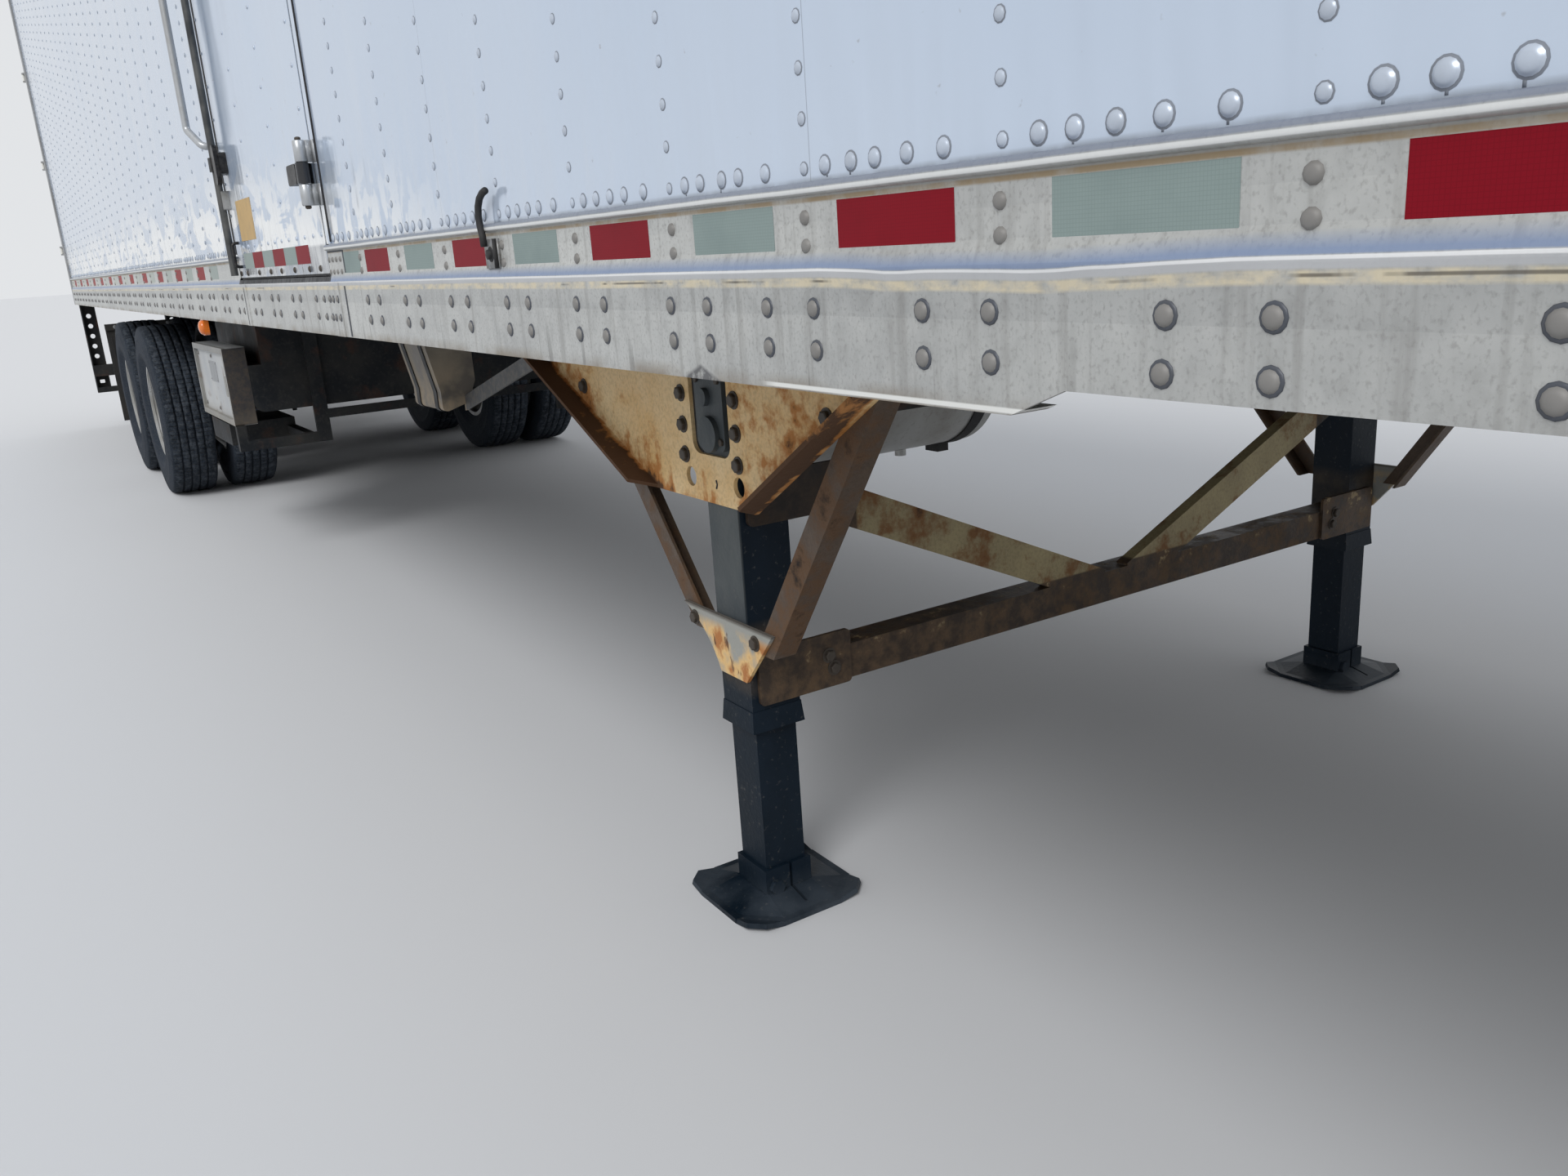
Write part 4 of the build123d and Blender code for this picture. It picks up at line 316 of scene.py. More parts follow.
def chassis_paint():
    """Dusty black chassis paint with spots of rust."""
    dusty = (66, 64, 60)
    p = Paint("chassis_black", (26, 29, 33), rough=0.6, spec=0.2)
    cloud = p.noise(5, 7)
    speck = p.noise(70, 5, shift=2)
    p.fade(cloud, 0.42, 0.72, dusty, 0.6)
    p.fade(speck, 0.52, 0.72, dusty, 0.35)
    p.fade(p.noise(7, 8, shift=12), 0.56, 0.66, (104, 62, 36), 0.22)
    return p.done(p.bump(speck, 0.0012, 0.8), p.span(cloud, 0.3, 0.7, 0.45, 0.8))


def rusty_paint(name, tones, share, edge=None, over=None):
    """Old paint with rust showing through; edge adds rust, and over lays another finish on top."""
    paint, worn, rust, deep = tones
    p = Paint(name, paint, rough=0.62, spec=0.25)
    cloud = p.noise(4.5, 8, rough=0.6)
    flake = p.noise(26, 7, shift=5, rough=0.65)
    fine = p.noise(140, 4, shift=8)
    p.fade(cloud, 0.35, 0.65, worn)
    p.fade(fine, 0.45, 0.75, deep, 0.3)
    amount = (cloud + flake * 0.8) * 0.56
    if edge is not None:
        amount = amount + edge(p)
    level = 0.62 - 0.2 * share
    p.fade(amount, level - 0.04, level + 0.05, rust, 0.9)
    p.fade(amount, level + 0.07, level + 0.14, deep)
    if over is not None:
        over(p, flake)
    return p.done(
        p.bump(amount, 0.006, 0.8, p.bump(fine, 0.0008, 0.7)),
        p.span(amount, level - 0.05, level + 0.1, 0.45, 0.85),
    )


def plate_edge(p):
    """Rust on the wing plates: along both slopes, the foot and the flanges, streaks, and more of it ahead."""
    rear = (p.x - (XL - 0.245)) * 0.4147 + (p.z - 0.815) * 0.91
    front = (XL + 0.13 - p.x) * 0.5284 + (p.z - 0.815) * 0.849
    near_rear = p.span(rear, 0, 0.085, 0.13, 0)
    near_front = p.span(front, 0, 0.05, 0.1, 0)
    fold = p.span(abs(p.y), 1, 1.012, 0, 0.16)
    left = p.span(p.x, XL - 0.5, XL - 0.18, 0.07, 0)
    ahead = p.band(p.x, XL + 0.1, XL + 0.34, 0.05) * p.span(p.noise(30, 6, shift=9), 0.35, 0.65, 0.03, 0.13)
    foot = p.span(p.z, 0.815, 0.85, 0.08, 0)
    streak = p.span(p.noise(7, 5, (5, 1, 0.5), shift=3), 0.5, 0.7, 0, 0.1) * p.span(p.z, 0.815, 1, 1, 0.2)
    return near_rear + near_front + fold + left + ahead + foot + streak - 0.06


def gusset_over(p, flake):
    """The gussets: grey primer, orange rust, brown runs."""
    gusset = p.span(abs(p.y), 0.99, 0.9902)
    low = p.span(p.z, 0.56, 0.58, 1, 0)
    patch = p.noise(13, 5, (1, 1, 0.8), shift=13)
    tone = p.mix(low * p.span(patch, 0.4, 0.52), (150, 150, 144), (214, 178, 122))
    tone = p.mix(low * p.span(patch, 0.53, 0.6), tone, (170, 112, 62))
    tone = p.mix(low * p.span(p.noise(24, 6, (2, 1, 0.7), shift=17), 0.6, 0.66), tone, (92, 62, 42))
    p.lay(gusset, p.mix(p.span(p.z, 0.586, 0.591, 0, 0.8), tone, (84, 78, 72)))


def brace_over(p, flake):
    """The K brace: low channel and end plates dark brown with pale scuffs on their edges."""
    low = p.span(p.z, 0.512, 0.516, 1, 0)
    ends = p.span(abs(p.y), 0.722, 0.727)
    dark = p.mix(p.span(flake, 0.4, 0.62), (58, 48, 40), (92, 74, 56))
    dark = p.mix(p.span(flake, 0.6, 0.66) * p.span(p.z, 0.47, 0.498), dark, (152, 134, 102))
    dark = p.mix(p.span(p.z, 0.72, 0.78), dark, p.mix(p.span(flake, 0.4, 0.62), (40, 34, 30), (62, 50, 40)))
    p.lay(p.math("MAXIMUM", low, ends), dark)


def leg_paint():
    """Blue-black legs, dusty grey high up on the curb faces, brown near the gusset."""
    p = Paint("leg_blue_black", (10, 22, 32), rough=0.5, spec=0.15)
    cloud = p.noise(6, 7, (1, 1, 0.5))
    speck = p.noise(90, 4, shift=3)
    p.fade(cloud, 0.35, 0.7, (22, 34, 46))
    high = p.span(p.z, 0.5, 0.66) * p.span(abs(p.y), 0.985, 0.989)
    p.lay(high * 0.9, p.mix(p.span(cloud, 0.4, 0.6), (84, 88, 88), (62, 68, 72)))
    p.fade(speck, 0.62, 0.75, (96, 94, 90), 0.4)
    brown = p.band(p.z, 0.475, 0.56, 0.035) * p.span(p.noise(9, 6, shift=8), 0.3, 0.55)
    p.lay(brown * 0.85, (80, 70, 58))
    p.lay(p.span(p.z, 0, 0.06, 0.35, 0) * p.span(cloud, 0.35, 0.6), (96, 102, 108))
    return p.done(p.bump(speck, 0.001, 0.7), p.span(cloud, 0.3, 0.7, 0.36, 0.62))


def around(p, end):
    """Distance from an axle's line, and the angle about it."""
    run, rise = p.x - AXLE_XS[end], p.z - AXLE_Z
    return p.math("SQRT", run * run + rise * rise), p.math("ARCTAN2", rise, run)


def tyre_paint(end):
    """Dusty black rubber with cross sipes on the ribs, painted dark as shade in the slits, and dust in rings
    on the sidewalls.
    """
    p = Paint(f"tyre_rubber_{end}", (30, 36, 44), rough=0.78, spec=0.12)
    out, angle = around(p, end)
    cloud = p.noise(7, 6)
    speck = p.noise(120, 4, shift=4)
    p.fade(cloud, 0.35, 0.7, (46, 53, 62))
    p.lay(p.span(out, 0.486, 0.494, 1, 0) * p.span(cloud, 0.3, 0.6, 0.45, 0.95), (44, 50, 59))
    crown = p.span(out, 0.5005, 0.503)
    # Painted shade in the sipes across the crown
    cut = p.span(p.teeth((angle * (0.5 / math.pi) + 0.5) * SIPES), 0.4, 0.46) * crown
    p.lay(cut * 0.8, (14, 15, 18))
    worn = crown * p.span(p.noise(34, 5, shift=9), 0.45, 0.7)
    p.lay(worn * 0.45, (92, 98, 106))
    p.fade(speck, 0.5, 0.75, (110, 108, 102), 0.25)
    return p.done(p.bump(speck, 0.001, 0.7, p.bump(1 - cut, 0.002, 0.8)))


def rim_paint(end):
    """Silver rims: brake dust towards the hub, rust round the nuts, a clean bright flange."""
    p = Paint(f"bright_rim_{end}", (198, 199, 199), rough=0.32, metal=0.4)
    out = around(p, end)[0]
    cloud = p.noise(9, 6)
    p.fade(cloud, 0.35, 0.65, (176, 175, 170))
    p.lay(p.span(out, 0.27, 0.19, 0, 0.7) * p.span(cloud, 0.3, 0.55), (132, 124, 112))
    nuts = p.band(out, 0.125, 0.16, 0.012) * p.span(p.noise(22, 6, shift=3), 0.42, 0.6)
    p.lay(nuts * 0.8, (112, 84, 58))
    p.lay(p.span(out, 0.083, 0.09, 0.7, 0), p.mix(p.span(cloud, 0.35, 0.65), (96, 94, 90), (64, 62, 60)))
    return p.done(p.bump(p.noise(80, 4, shift=5), 0.0006, 0.6), p.span(cloud, 0.3, 0.7, 0.26, 0.5))


def tape_paint(name, tone, dark, bleached):
    """Reflective tape with a fine grid of cells and some wear."""
    p = Paint(name, tone, rough=0.5, spec=0.12)
    cells = p.math("MAXIMUM", p.teeth(p.x * (1 / TAPE_CELL)), p.teeth(p.z * (1 / TAPE_CELL)))
    cloud = p.noise(9, 6)
    p.fade(cells, 0.38, 0.48, dark, 0.35)
    p.fade(cloud, 0.48, 0.75, dark, 0.4)
    p.lay(p.span(p.x, XL - 6.5, XL - 1.5, 0.75, 0), bleached)
    return p.done()


def flat_paint(name, tone, rough, metal=0):
    """The finish of a small piece, with a little dirt."""
    p = Paint(name, tone, rough=rough, metal=metal)
    p.fade(p.noise(30, 4), 0.35, 0.7, (90, 86, 80), 0.18)
    return p.done()


def lamp_paint():
    """Amber lenses ahead of the axles, red ones behind."""
    p = Paint("lamp_lens", (150, 18, 14), rough=0.2, coat=0.6)
    p.fade(p.x, XR + 1, XR + 1.01, (214, 110, 22))
    p.fade(p.teeth(p.z * 160), 0.3, 0.5, (60, 20, 8), 0.3)
    return p.done()


def cabinet_paint():
    """Light panel in grey margins on the curb face, and painted shade on the end towards the nose."""
    p = Paint("cabinet_grey", rough=0.5)
    cloud = p.noise(4, 7)
    fine = p.noise(60, 5, shift=6)
    panel = p.mix(p.span(cloud, 0.35, 0.65), (168, 171, 174), (186, 187, 186))
    margin = p.mix(p.span(cloud, 0.35, 0.65), (118, 120, 120), (142, 140, 134))
    p.base = p.mix(p.span(p.y, -1.1865, -1.1835), margin, panel)
    # Painted shade on the end face towards the nose
    p.fade(p.x, XL - 4.014, XL - 4.01, p.mix(p.span(fine, 0.4, 0.65), (46, 44, 45), (66, 58, 50)))
    p.fade(p.noise(8, 8, shift=3), 0.6, 0.7, (104, 72, 46), 0.6)
    p.lay(p.span(p.z, 0.626, 0.7, 0.4, 0), (112, 102, 86))
    return p.done(p.bump(fine, 0.001, 0.7))


def lock_paint():
    """Galvanised door lock with a black hub, paddle and rubber block."""
    p = Paint("door_lock_galvanised", (176, 178, 180), rough=0.35, metal=0.5)
    cloud = p.noise(9, 6)
    fine = p.noise(90, 4, shift=6)
    p.fade(cloud, 0.4, 0.7, (140, 138, 132))
    p.fade(fine, 0.55, 0.75, (112, 104, 92), 0.4)
    black = p.mix(p.span(fine, 0.4, 0.7), (26, 26, 28), (56, 54, 52))
    for back, ahead, low, high in ((0.062, 0.11, 1.563, 1.692), (0.003, 0.113, 1.6, 1.666)):
        across = p.band(p.x, DOOR_REAR + back, DOOR_REAR + ahead, 0.0005)
        p.lay(across * p.band(p.z, low, high, 0.0005), black)
    p.lay(p.span(p.z, 1.392, 1.396, 1, 0), black)
    p.fade(p.x, XL - 1.7, XL - 1.699, black)
    rod = p.band(p.x, DOOR_REAR + 0.0105, DOOR_REAR + 0.0365, 0.0004) * p.span(p.y, -1.301, -1.3006, 1, 0)
    p.lay(rod, p.mix(p.span(cloud, 0.4, 0.6), (58, 60, 62), (92, 92, 90)))
    return p.done(p.bump(fine, 0.0006, 0.7), p.span(cloud, 0.3, 0.7, 0.28, 0.5))


def small_tank_paint():
    """A grey-brown moulded tank in two black straps, on a dull strut."""
    p = Paint("small_tank_grey_brown", (98, 92, 84), rough=0.5, spec=0.3)
    cloud = p.noise(9, 6)
    fine = p.noise(70, 4, shift=6)
    p.fade(cloud, 0.38, 0.65, (128, 120, 106))
    p.lay(p.span(p.z, 0.9, 1.05, 1, 0) * p.span(cloud, 0.4, 0.55), (150, 134, 112))
    for low, high in ((XL - 1.6205, XL - 1.5915), (XL - 1.4605, XL - 1.4315)):
        p.lay(p.band(p.x, low, high, 0.0005), p.mix(p.span(fine, 0.4, 0.7), (24, 24, 26), (48, 47, 46)))
    p.fade(p.x, XL - 1.3995, XL - 1.399, p.mix(p.span(fine, 0.4, 0.7), (72, 74, 76), (96, 92, 86)))
    return p.done(p.bump(fine, 0.0008, 0.7), p.span(cloud, 0.3, 0.7, 0.4, 0.65))


def holdback_paint():
    """A galvanised bracket with a black hook."""
    p = Paint("holdback_galvanised", (150, 152, 154), rough=0.4, metal=0.3)
    fine = p.noise(80, 5)
    p.fade(fine, 0.4, 0.7, (112, 106, 96))
    p.fade(p.z, 1.3202, 1.3206, p.mix(p.span(fine, 0.4, 0.7), (30, 31, 34), (64, 62, 60)))
    return p.done(p.bump(fine, 0.0006, 0.7))


def roof_paint():
    """White roof sheet, its bows showing as faint ribs, dirt towards the rails."""
    p = Paint("roof_white", (216, 216, 212), rough=0.4)
    cloud = p.noise(1.3, 6)
    p.fade(cloud, 0.35, 0.65, (207, 207, 202))
    p.lay(p.span(abs(p.y), 0.9, 1.22, 0, 0.7) * p.span(p.noise(5, 6, (1, 3, 1)), 0.4, 0.65), (150, 144, 130))
    bow = p.teeth(p.x * (1 / BOW_PITCH))
    return p.done(p.bump(p.span(bow, 0, 0.06, 1, 0), 0.006, 0.8, p.bump(cloud, 0.02, 0.5)))


def unit_paint():
    """White moulded housing with a dark louvred grille, dust below the seams."""
    p = Paint("unit_white", (224, 224, 221), rough=0.32, coat=0.3)
    cloud = p.noise(3, 6)
    p.fade(cloud, 0.4, 0.7, (212, 211, 206), 0.4)
    grille = p.span(abs(p.y), 0.775, 0.78, 1, 0) * p.band(p.z, 3.372, 3.928, 0.002)
    set_back = p.span(p.x, XN + 0.4535, XN + 0.4575, 1, 0) * p.span(p.x, XN + 0.3, XN + 0.32)
    p.lay(grille * set_back, (36, 37, 39))
    p.lay(p.span(p.z, 2.15, 2.5, 0.5, 0) * p.span(cloud, 0.4, 0.6), (160, 154, 140))
    return p.done(p.bump(p.noise(90, 3), 0.0004, 0.5))


ROOF = roof_paint()
HOLD = holdback_paint()
BRIGHT = plain_paint("bright_galvanised", (184, 187, 190), (138, 134, 126), rough=0.34, metal=0.5)
BLACK = chassis_paint()
RUBBER = plain_paint("black_rubber", (30, 30, 31), (70, 66, 60), rough=0.8)
LENS = lamp_paint()
TAPE_RED = tape_paint("tape_red", (124, 8, 26), (94, 4, 18), (156, 74, 70))
TAPE_GREY = tape_paint("tape_silver", (132, 146, 143), (106, 120, 119), (196, 196, 188))
STUD = flat_paint("rivet_bright", (188, 197, 210), 0.32, 0.35)
# Dark grey for the painted shade round the rivet heads, also used for the crumbs of dirt below them
RIVET_SHADE_AND_DIRT = flat_paint("rivet_rim", (122, 128, 138), 0.6)
BOLT_GREY = flat_paint("bolt_grey", (128, 126, 123), 0.55, 0.15)
# Dark grey for the painted shade on the flat rims round the rail bolts
BOLT_RING_SHADE = flat_paint("bolt_edge", (72, 76, 84), 0.45, 0.2)
BOLT_DARK = flat_paint("bolt_dark", (66, 58, 50), 0.6, 0.2)
# Dark grey for the splice seams: dark joints with painted shade on the plate edges
SEAM_SHADE_AND_DIRT = flat_paint("seam_shade_and_dirt", (62, 66, 72), 0.7)
SEAL = flat_paint("door_seal", (28, 28, 30), 0.7)
PLACARD = flat_paint("placard_tan", (188, 156, 102), 0.6)
TRIM = flat_paint("bright_trim", (206, 208, 208), 0.35, 0.4)
ZINC = flat_paint("zinc_plate", (150, 152, 154), 0.4, 0.6)

# Tones of old paint: sound, worn, rust and deep rust
TAN = ((226, 200, 154), (210, 170, 110), (170, 110, 54), (84, 60, 42))
BROWN = ((98, 82, 68), (76, 64, 54), (96, 72, 52), (46, 38, 33))
OCHRE = ((166, 152, 114), (136, 124, 94), (118, 80, 48), (66, 50, 38))


def dress(paint, *names):
    """Give CAD nodes their finish."""
    for name in names:
        NODES[name].data.materials.clear()
        NODES[name].data.materials.append(paint)


def dress_body():
    dress(rail_paint(), "bottom_rails", "top_rails")
    dress(wall_paint("bright_sheet", (180, 195, 215), within(1.2805)), "curb_wall", "road_wall")
    door = wall_paint("door_sheet", (180, 196, 217), within(1.285), side_door_straps, seams=False)
    dress(door, "side_door")
    plain = {"metal": 0, "rough": 0.3, "seams": False, "buckle_reflections": False}
    white = wall_paint("white_panel", (214, 217, 220), inside_ends, **plain)
    dress(white, "front_wall", "rear_door_curb", "rear_door_road")
    dress(ROOF, "roof")
    dress(plain_paint("floor_metal", (150, 150, 150), (110, 104, 94), rough=0.45, metal=0.6), "floor")
    galvanised = plain_paint("galvanised_steel", (150, 151, 152), (112, 104, 92), rough=0.42, metal=0.4)
    dress(galvanised, "rear_frame", "kingpin")
    dress(BRIGHT, "lock_rods_curb", "lock_rods_road", "side_door_hinges", "grab_bar")
    dress(lock_paint(), "side_door_lock")
    dress(HOLD, "door_holdback")
    dress(LENS, "lamps")
    dress(unit_paint(), "refrigeration_unit", "air_and_electric_connectors")


def dress_chassis():
    dress(BLACK, "crossmembers", "upper_coupler", "axle_frame", "slide_rails", "axles")
    dress(BLACK, "underride_guard", "leaf_springs", "crank_shaft", "cross_box")
    dress(leg_paint(), "leg_tubes", "leg_inner_tubes", "leg_feet")
    dress(rusty_paint("wing_plate_tan", TAN, 0.22, plate_edge), "wing_plates")
    dress(rusty_paint("brace_brown", BROWN, 0.4, over=gusset_over), "leg_braces")
    dress(rusty_paint("cross_brace_brown", OCHRE, 0.42, over=brace_over), "cross_brace")
    grey = plain_paint("grey_tank", (168, 168, 165), (120, 112, 100), rough=0.4, metal=0.3, amount=0.6)
    dress(grey, "fuel_tank")
    dress(small_tank_paint(), "strapped_tank")
    dress(RUBBER, "mud_flaps", "dock_bumpers", "fuel_tank_straps")
    dress(cabinet_paint(), "control_cabinet")
    for end in AXLE_XS:
        dress(rim_paint(end), f"wheels_{end}_curb", f"wheels_{end}_road")


dress_body()
dress_chassis()


# Small pieces
class Heap:
    """Many small shapes gathered in one mesh."""

    def __init__(self, sides=10):
        self.points, self.faces, self.tones = [], [], []
        self.sides = sides

    def add(self, points, faces, tone=0):
        start = len(self.points)
        self.points += [tuple(p) for p in points]
        self.faces += [tuple(start + i for i in f) for f in faces]
        self.tones += [tone] * len(faces)

    def ring(self, r, h=0):
        turns = (math.tau * n / self.sides for n in range(self.sides))
        return [Vector((r * math.cos(a), r * math.sin(a), h)) for a in turns]

    def skin(self, rings, tone=0, foot=False, closed=False):
        """Quads from ring to ring of points, capped at the last and the foot, or closed to the first."""
        sides, count = len(rings[0]), len(rings)
        steps = [(n, (n + 1) % sides) for n in range(sides)]
        faces = []
        for row in range(count if closed else count - 1):
            low, high = row * sides, (row + 1) % count * sides
            faces += [(low + n, low + m, high + m, high + n) for n, m in steps]
        if not closed:
            faces.append(tuple(range((count - 1) * sides, count * sides)))
        if foot:
            faces.append(tuple(reversed(range(sides))))
        self.add([q for ring in rings for q in ring], faces, tone)

    def turn(self, rows, place, tone=0, foot_tone=None):
        """A turned shape: rows of (radius, height) along the local z; the lowest can have its own tone."""
        start = len(self.tones)
        self.skin([[place @ q for q in self.ring(r, h)] for r, h in rows], tone)
        if foot_tone is not None:
            self.tones[start:start + self.sides] = [foot_tone] * self.sides

    def dome(self, at, facing, r, height, tone=0, rim=None):
        """A rivet head; rim is the tone of a thin dark ring round it, painted shade at the head's foot."""
        rows = [(r, 0), (r * 0.86, height * 0.55), (r * 0.5, height * 0.93)]
        if rim is not None:
            rows.insert(0, (r * 1.22, 0.0002))
            rows[1] = (r, 0.0007)
        self.turn(rows, aim(at, facing), tone, rim)

    def tube(self, points, r, tone=0):
        """A round bar bent through the points."""
        points = [Vector(q) for q in points]
        rings, before, turn = [], None, None
        for k, q in enumerate(points):
            ahead = points[min(k + 1, len(points) - 1)] - points[max(k - 1, 0)]
            turn = before.rotation_difference(ahead) @ turn if before else ahead.to_track_quat("Z", "Y")
            before = ahead
            rings.append([q + turn @ spoke for spoke in self.ring(r)])
        self.skin(rings, tone, foot=True)

    def bolt(self, at, facing, r, height, washer=0, tone=0):
        """A hexagon head on a washer."""
        keep = self.sides
        place = aim(at, facing)
        if washer:
            self.sides = 16
            self.turn([(washer, 0), (washer, height * 0.18), (r, height * 0.2)], place, tone)
        self.sides = 6
        place = place @ Matrix.Rotation(dice.random() * 1.2, 4, "Z")
        self.turn([(r, 0), (r, height * 0.85), (r * 0.8, height)], place, tone)
        self.sides = keep

    def slab(self, x, y, z, tone=0):
        """A box between three low, high pairs."""
        points = [(x[i], y[j], z[k]) for i in (0, 1) for j in (0, 1) for k in (0, 1)]
        sides = [(0, 1, 3, 2), (4, 6, 7, 5), (0, 4, 5, 1), (2, 3, 7, 6), (0, 2, 6, 4), (1, 5, 7, 3)]
        self.add(points, sides, tone)

    def make(self, name, paints, slot, body=TRAILER, smooth=True):
        mesh = bpy.data.meshes.new(name)
        mesh.from_pydata(self.points, [], self.faces)
        for paint in paints:
            mesh.materials.append(paint)
        for face, tone in zip(mesh.polygons, self.tones):
            face.material_index = tone
            face.use_smooth = smooth
        mesh.validate()
        mesh.update()
        piece = bpy.data.objects.new(name, mesh)
        bpy.context.scene.collection.objects.link(piece)
        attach(piece, body)
        return piece


def aim(at, facing):
    """A matrix that stands a shape at a point with its z along facing."""
    return Matrix.Translation(Vector(at)) @ Vector(facing).to_track_quat("Z", "Y").to_matrix().to_4x4()


def pair(a, b):
    """Two numbers, low first."""
    return min(a, b), max(a, b)


def across(side, a, b):
    """Two distances from the middle plane as places on one side, low first."""
    return pair(side * a, side * b)


def on_wheel(x, y, r, a):
    """A point at an angle round an axle's line."""
    return x + r * math.cos(a), y, AXLE_Z + r * math.sin(a)


def on_door(x):
    return DOOR_REAR - 0.055 < x < DOOR_FRONT + 0.055


# Columns of rivets on the wall posts, and a row of uneven pitch along the rail
POST_PITCH = 0.3165
RIVET_PITCH = 0.0516
ROW_OFFSETS = (0.077, 0.137, 0.184, 0.231, 0.273)
TOP_PITCH = 0.0528
TOP_ROWS = ((0, 4.012), (0.026, 4.06))
SMALL_RIVET, DOOR_RIVET = (0.0062, 0.0032), (0.0058, 0.003)
posts = [XL + 1.4 + POST_PITCH * n for n in range(-60, 30)]
for side, flank in FLANKS:
    facing = (0, side, 0)
    heap = Heap()
    for x in posts:
        if not XR + 0.16 < x < XN - 0.14:
            continue
        heap.sides = 10
        for n in range(51):
            z = 1.3525 + RIVET_PITCH * n
            if not (side < 0 and on_door(x) and z < DOOR_HIGH + 0.06):
                heap.dome((x + dice.uniform(-0.001, 0.001), side * WALL_Y, z), facing, 0.0066, 0.003, rim=1)
        for offset in ROW_OFFSETS:
            rx = x - offset
            heap.sides = 14
            if rx > XR + 0.13 and not (side < 0 and on_door(rx)):
                at = (rx + dice.uniform(-0.004, 0.004), side * WALL_Y, 1.3535)
                heap.dome(at, facing, 0.0092, 0.0044, rim=1)
                if dice.random() < 0.6:
                    # A crumb of dirt below the rivet
                    low = 1.3385 + dice.uniform(0, 0.003)
                    thick = across(side, WALL_Y + 0.0002, WALL_Y - 0.0005)
                    heap.slab((rx - 0.0012, rx + 0.0012), thick, (low, low + dice.uniform(0.003, 0.006)), 1)
    heap.make(f"wall_rivets_{flank}", [STUD, RIVET_SHADE_AND_DIRT], "bright_sheet")

    # Two rows of rivets on the top rail
    heap = Heap(8)
    for n in range(int((XN - XR - 0.29) / TOP_PITCH)):
        for shift, z in TOP_ROWS:
            at = (XR + 0.16 + TOP_PITCH * n + shift, side * (WALL_Y + 0.005), z)
            heap.dome(at, facing, 0.0065, 0.0032)
    heap.make(f"top_rail_rivets_{flank}", [STUD], "aluminium_rail")

# Bolts of the bottom rails: pairs on the upper band, fours on the lower band at each crossmember
PAIR_PITCH, CROSS_PITCH, LEG_PITCH = 0.3143, 0.2997, 0.3035
UPPER_ROWS = (1.3008, 1.2705)
LOWER_ROWS = (1.2035, 1.1575)
SPLICE_UPPER = (-1.418, -1.382, -1.345, -1.305)
SPLICE_LOWER = (-1.347, -1.3935, -1.441, -1.503, -1.596)
groups = [(1.674, 1.575), (1.378, 1.279), (1.077, 0.979), (0.79, 0.691), (0.55, 0.45), (0.238, 0.14)]
groups += [(-0.062 - LEG_PITCH * n, -0.16 - LEG_PITCH * n) for n in range(4)]
groups += [(-1.79 - CROSS_PITCH * n, -1.888 - CROSS_PITCH * n) for n in range(32)]
groups += [(1.974 + CROSS_PITCH * n, 1.875 + CROSS_PITCH * n) for n in range(6)]


def on_plate(gx):
    """Height of a splice plate under a bolt on the lower band."""
    return 0.003 if any(abs(gx - centre) < 0.0385 for centre in (-1.37, -2.629)) else 0


for side, flank in FLANKS:
    facing = (0, side, 0)
    heap = Heap()
    for n in range(48):
        gx = 1.399 + PAIR_PITCH * (5 - n)
        if XR + 0.14 < XL + gx < XN - 0.13 and not (side < 0 and -3.3 < gx < -1.25):
            for z in UPPER_ROWS:
                heap.dome((XL + gx, side * BAND_Y, z), facing, 0.0086, 0.0046)
    for gx in SPLICE_UPPER:
        for z in UPPER_ROWS:
            heap.dome((XL + gx, side * BAND_Y, z), facing, 0.007, 0.004)
    heap.make(f"rail_pair_bolts_{flank}", [BOLT_GREY], "aluminium_rail")
    heap = Heap(12)
    columns = [gx for two in groups for gx in two if XR + 0.14 < XL + gx < XN - 0.12]
    for gx in columns + list(SPLICE_LOWER):
        rivet = 0.82 if gx in SPLICE_LOWER else 1
        for z in LOWER_ROWS:
            at = (XL + gx + dice.uniform(-0.0015, 0.0015), side * (LOW_Y + on_plate(gx)), z)
            # The flat rim under each head is in painted shade
            rows = [(0.0124 * rivet, 0), (0.0119 * rivet, 0.0012), (0.01 * rivet, 0.0016)]
            heap.turn(rows, aim(at, facing))
            heap.dome((at[0], at[1] + side * 0.0014, at[2]), facing, 0.0094 * rivet, 0.0042, tone=1)
    heap.make(f"rail_bolts_{flank}", [BOLT_RING_SHADE, BOLT_GREY], "aluminium_rail")

    # Dark seams at the splices round the side door: the joints and painted shade on the plate edges
    heap = Heap()
    for back, ahead, y, proud, z in (
        (-1.279, -1.268, BAND_Y, 0.0006, (1.268, 1.322)),
        (-1.281, -1.268, LOW_Y, 0.0006, (1.112, 1.236)),
        (-1.426, -1.282, BAND_Y, 0.0005, (1.3185, 1.3225)),
        (-2.6325, -2.626, LOW_Y, 0.0036, (1.112, 1.236)),
    ):
        heap.slab((XL + back, XL + ahead), across(side, y - 0.001, y + proud), z)
    heap.make(f"splice_seam_{flank}", [SEAM_SHADE_AND_DIRT], "aluminium_rail", smooth=False)

